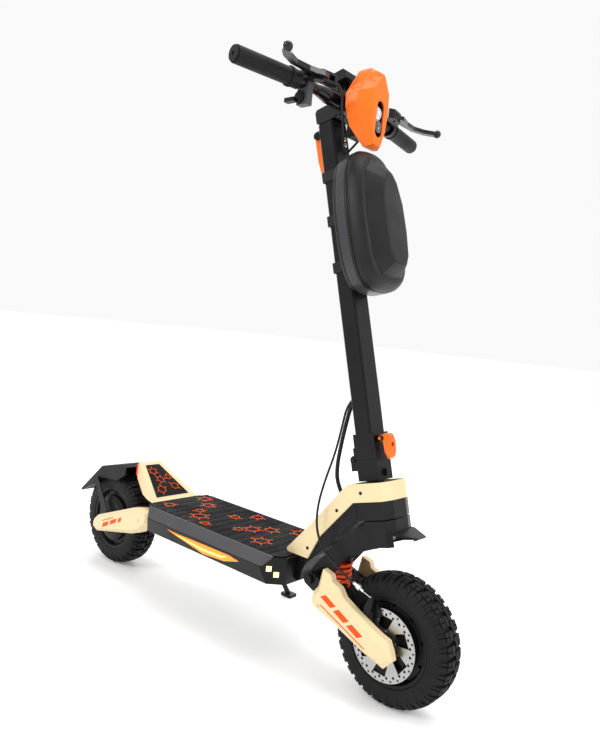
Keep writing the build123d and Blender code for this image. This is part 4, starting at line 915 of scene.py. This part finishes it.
def plates(name, outlines, material, body):
    """Thin plates, each given by an outer outline of points and the step from its back to its face."""
    points, faces = [], []
    for outline, step in outlines:
        first = len(points)
        points += list(outline) + [Vector(point) + step for point in outline]
        faces += ring_faces(first, len(outline), 1) + end_faces(first, len(outline), 1)
    thing = mesh_object(name, points, faces, material)
    turn_faces_out(thing.data)
    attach(thing, body)
    return thing


CORE = [(-0.078, 0.1995), (0.016, 0.1880), (0.082, 0.1915), (0.100, 0.1995), (0.080, 0.1960), (0.018, 0.1935)]
cores = []
for side in (-1, 1):
    outline = [(x, side * (wall_reach(z) + 0.0008), z) for x, z in CORE]
    cores.append((outline, Vector((0, side * 0.0010, 0))))
plates("side_light_cores", cores, lamp_core, "deck")

CORNER_OUT = 0.7071
squares, frames = [], []
for end, corner_x in ((1, 0.220), (-1, -0.202)):
    for side in (-1, 1):
        facing = Vector((end * CORNER_OUT, side * CORNER_OUT, 0))
        along = Vector((-end * CORNER_OUT, side * CORNER_OUT, 0))
        for step in (-1, 1):
            middle = Vector((corner_x, side * 0.098, 0.2012 - 0.0058 * step)) - along * 0.0082 * step
            for size, lift, group in ((0.0056, 0.0006, squares), (0.0072, 0.0002, frames)):
                outline = [middle + along * (a * size) + Vector((0, 0, b * size)) - facing * 0.0006
                           for a, b in ((-1, -1), (1, -1), (1, 1), (-1, 1))]
                group.append((outline, facing * (0.0006 + lift)))
plates("corner_lamp_squares", squares, lamp_square, "deck")
plates("corner_lamp_frames", frames, black_plastic, "deck")


# ---- Headlight ----
# A clear round projector above a smaller reflector, in one black housing behind the orange mask.

projector_glass = finish_paint("projector glass", (0.62, 0.65, 0.7), 0.06, metal=0.6, bump=0.0, mottle=0.3,
                               coat=0.6, spread=0.04)
reflector_grey = finish_paint("reflector", (0.16, 0.16, 0.17), 0.18, metal=0.7, bump=0.0, mottle=0.25)


def turned_about_x(name, middle, section, material, steps=40):
    """A piece turned about a line along X through the middle, from (forward, radius) points."""
    points = []
    for forward, radius in section:
        for k in range(steps):
            a = 2 * pi * k / steps
            points.append((middle[0] + forward, middle[1] + radius * cos(a), middle[2] + radius * sin(a)))
    levels = len(section) - 1
    faces = ring_faces(0, steps, levels) + end_faces(0, steps, levels)
    thing = mesh_object(name, points, faces, material)
    outwards(thing)
    return thing


DOME = [(0, 0.0110), (0.0012, 0.0112), (0.002, 0.0104), (0.0022, 0.0098), (0.0045, 0.0086), (0.0065, 0.0062),
        (0.0076, 0.0032), (0.0079, 0.0004)]
DISH = [(-0.001, 0.0092), (0.0030, 0.0092), (0.0034, 0.0086), (0.0022, 0.0078), (0.0002, 0.0058),
        (-0.0002, 0.0030), (0.0012, 0.0022), (0.0016, 0.0004)]
projector = turned_about_x("headlight_projector", (0.2898, 0, 0.0), DOME, projector_glass)
projector.data.transform(Matrix.Translation((0, 0, 1.152)) @ Matrix.Diagonal((1, 1.0, 1.35, 1)))
reflector = turned_about_x("headlight_reflector", (0.2930, 0, 0.0), DISH, reflector_grey)
reflector.data.transform(Matrix.Translation((0, 0, 1.1255)) @ Matrix.Diagonal((1, 1.1, 1.25, 1)))
for piece in (projector, reflector):
    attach(piece, "post")
    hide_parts("headlight_lens")


# The mask's moulding: its cheeks drop away from the peak, and its chin is drawn forward to a narrow wedge.
MASK_FRONT, MASK_DEPTH = 0.297, 0.054
MASK_FOOT, CHIN_TOP, CHEEK_TOP, PEAK_FOOT, MASK_HEAD = 1.084, 1.135, 1.185, 1.225, 1.2438
CHIN_DRAW, CHEEK_DROP, PEAK_LIFT, PEAK_HALF = 0.032, 0.011, 0.005, 0.018
mask = bpy.data.objects.new("mask_moulding", nodes["headlight_mask"].data.copy())
bpy.context.scene.collection.objects.link(mask)
outwards(mask)
for vertex in mask.data.vertices:
    x, y, z = vertex.co
    behind = (MASK_FRONT - x) / MASK_DEPTH
    if z < CHIN_TOP:
        vertex.co.x = x + CHIN_DRAW * behind * (CHIN_TOP - z) / (CHIN_TOP - MASK_FOOT)
    if z > CHEEK_TOP and abs(y) > PEAK_HALF:
        vertex.co.z = z - CHEEK_DROP * behind
    if z > PEAK_FOOT:
        vertex.co.z = min(MASK_HEAD, z + PEAK_LIFT)
mask.data.update()
mask.data.set_sharp_from_angle(angle=radians(15))
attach(mask, "post")
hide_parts("headlight_mask")


# ---- Stem screws ----
# Two domed socket screws in the stem's front face, over the clamp, in bright nickel.

nickel = finish_paint("nickel", (0.75, 0.66, 0.6), 0.18, metal=1.0, bump=0.03)
screw_points, screw_faces = [], []
STEM_FACE = 0.026
SCREW_STEPS = 24
# Each screw's section as (out from the stem's face, radius), from the head's foot to the socket's floor.
SCREW_SECTION = [(-0.0008, 0.0050), (0.0012, 0.0050), (0.0026, 0.0038), (0.0030, 0.0026), (0.0012, 0.0022)]
for up in (0.716, 0.7025):
    first = len(screw_points)
    for out, radius in SCREW_SECTION:
        for k in range(SCREW_STEPS):
            a = 2 * pi * k / SCREW_STEPS
            screw_points.append(on_stem(STEM_FACE + out, radius * cos(a), up + radius * sin(a)))
    levels = len(SCREW_SECTION) - 1
    screw_faces += ring_faces(first, SCREW_STEPS, levels) + end_faces(first, SCREW_STEPS, levels)
stem_screws = mesh_object("stem_screws", screw_points, screw_faces, nickel)
outwards(stem_screws)
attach(stem_screws, "stem")
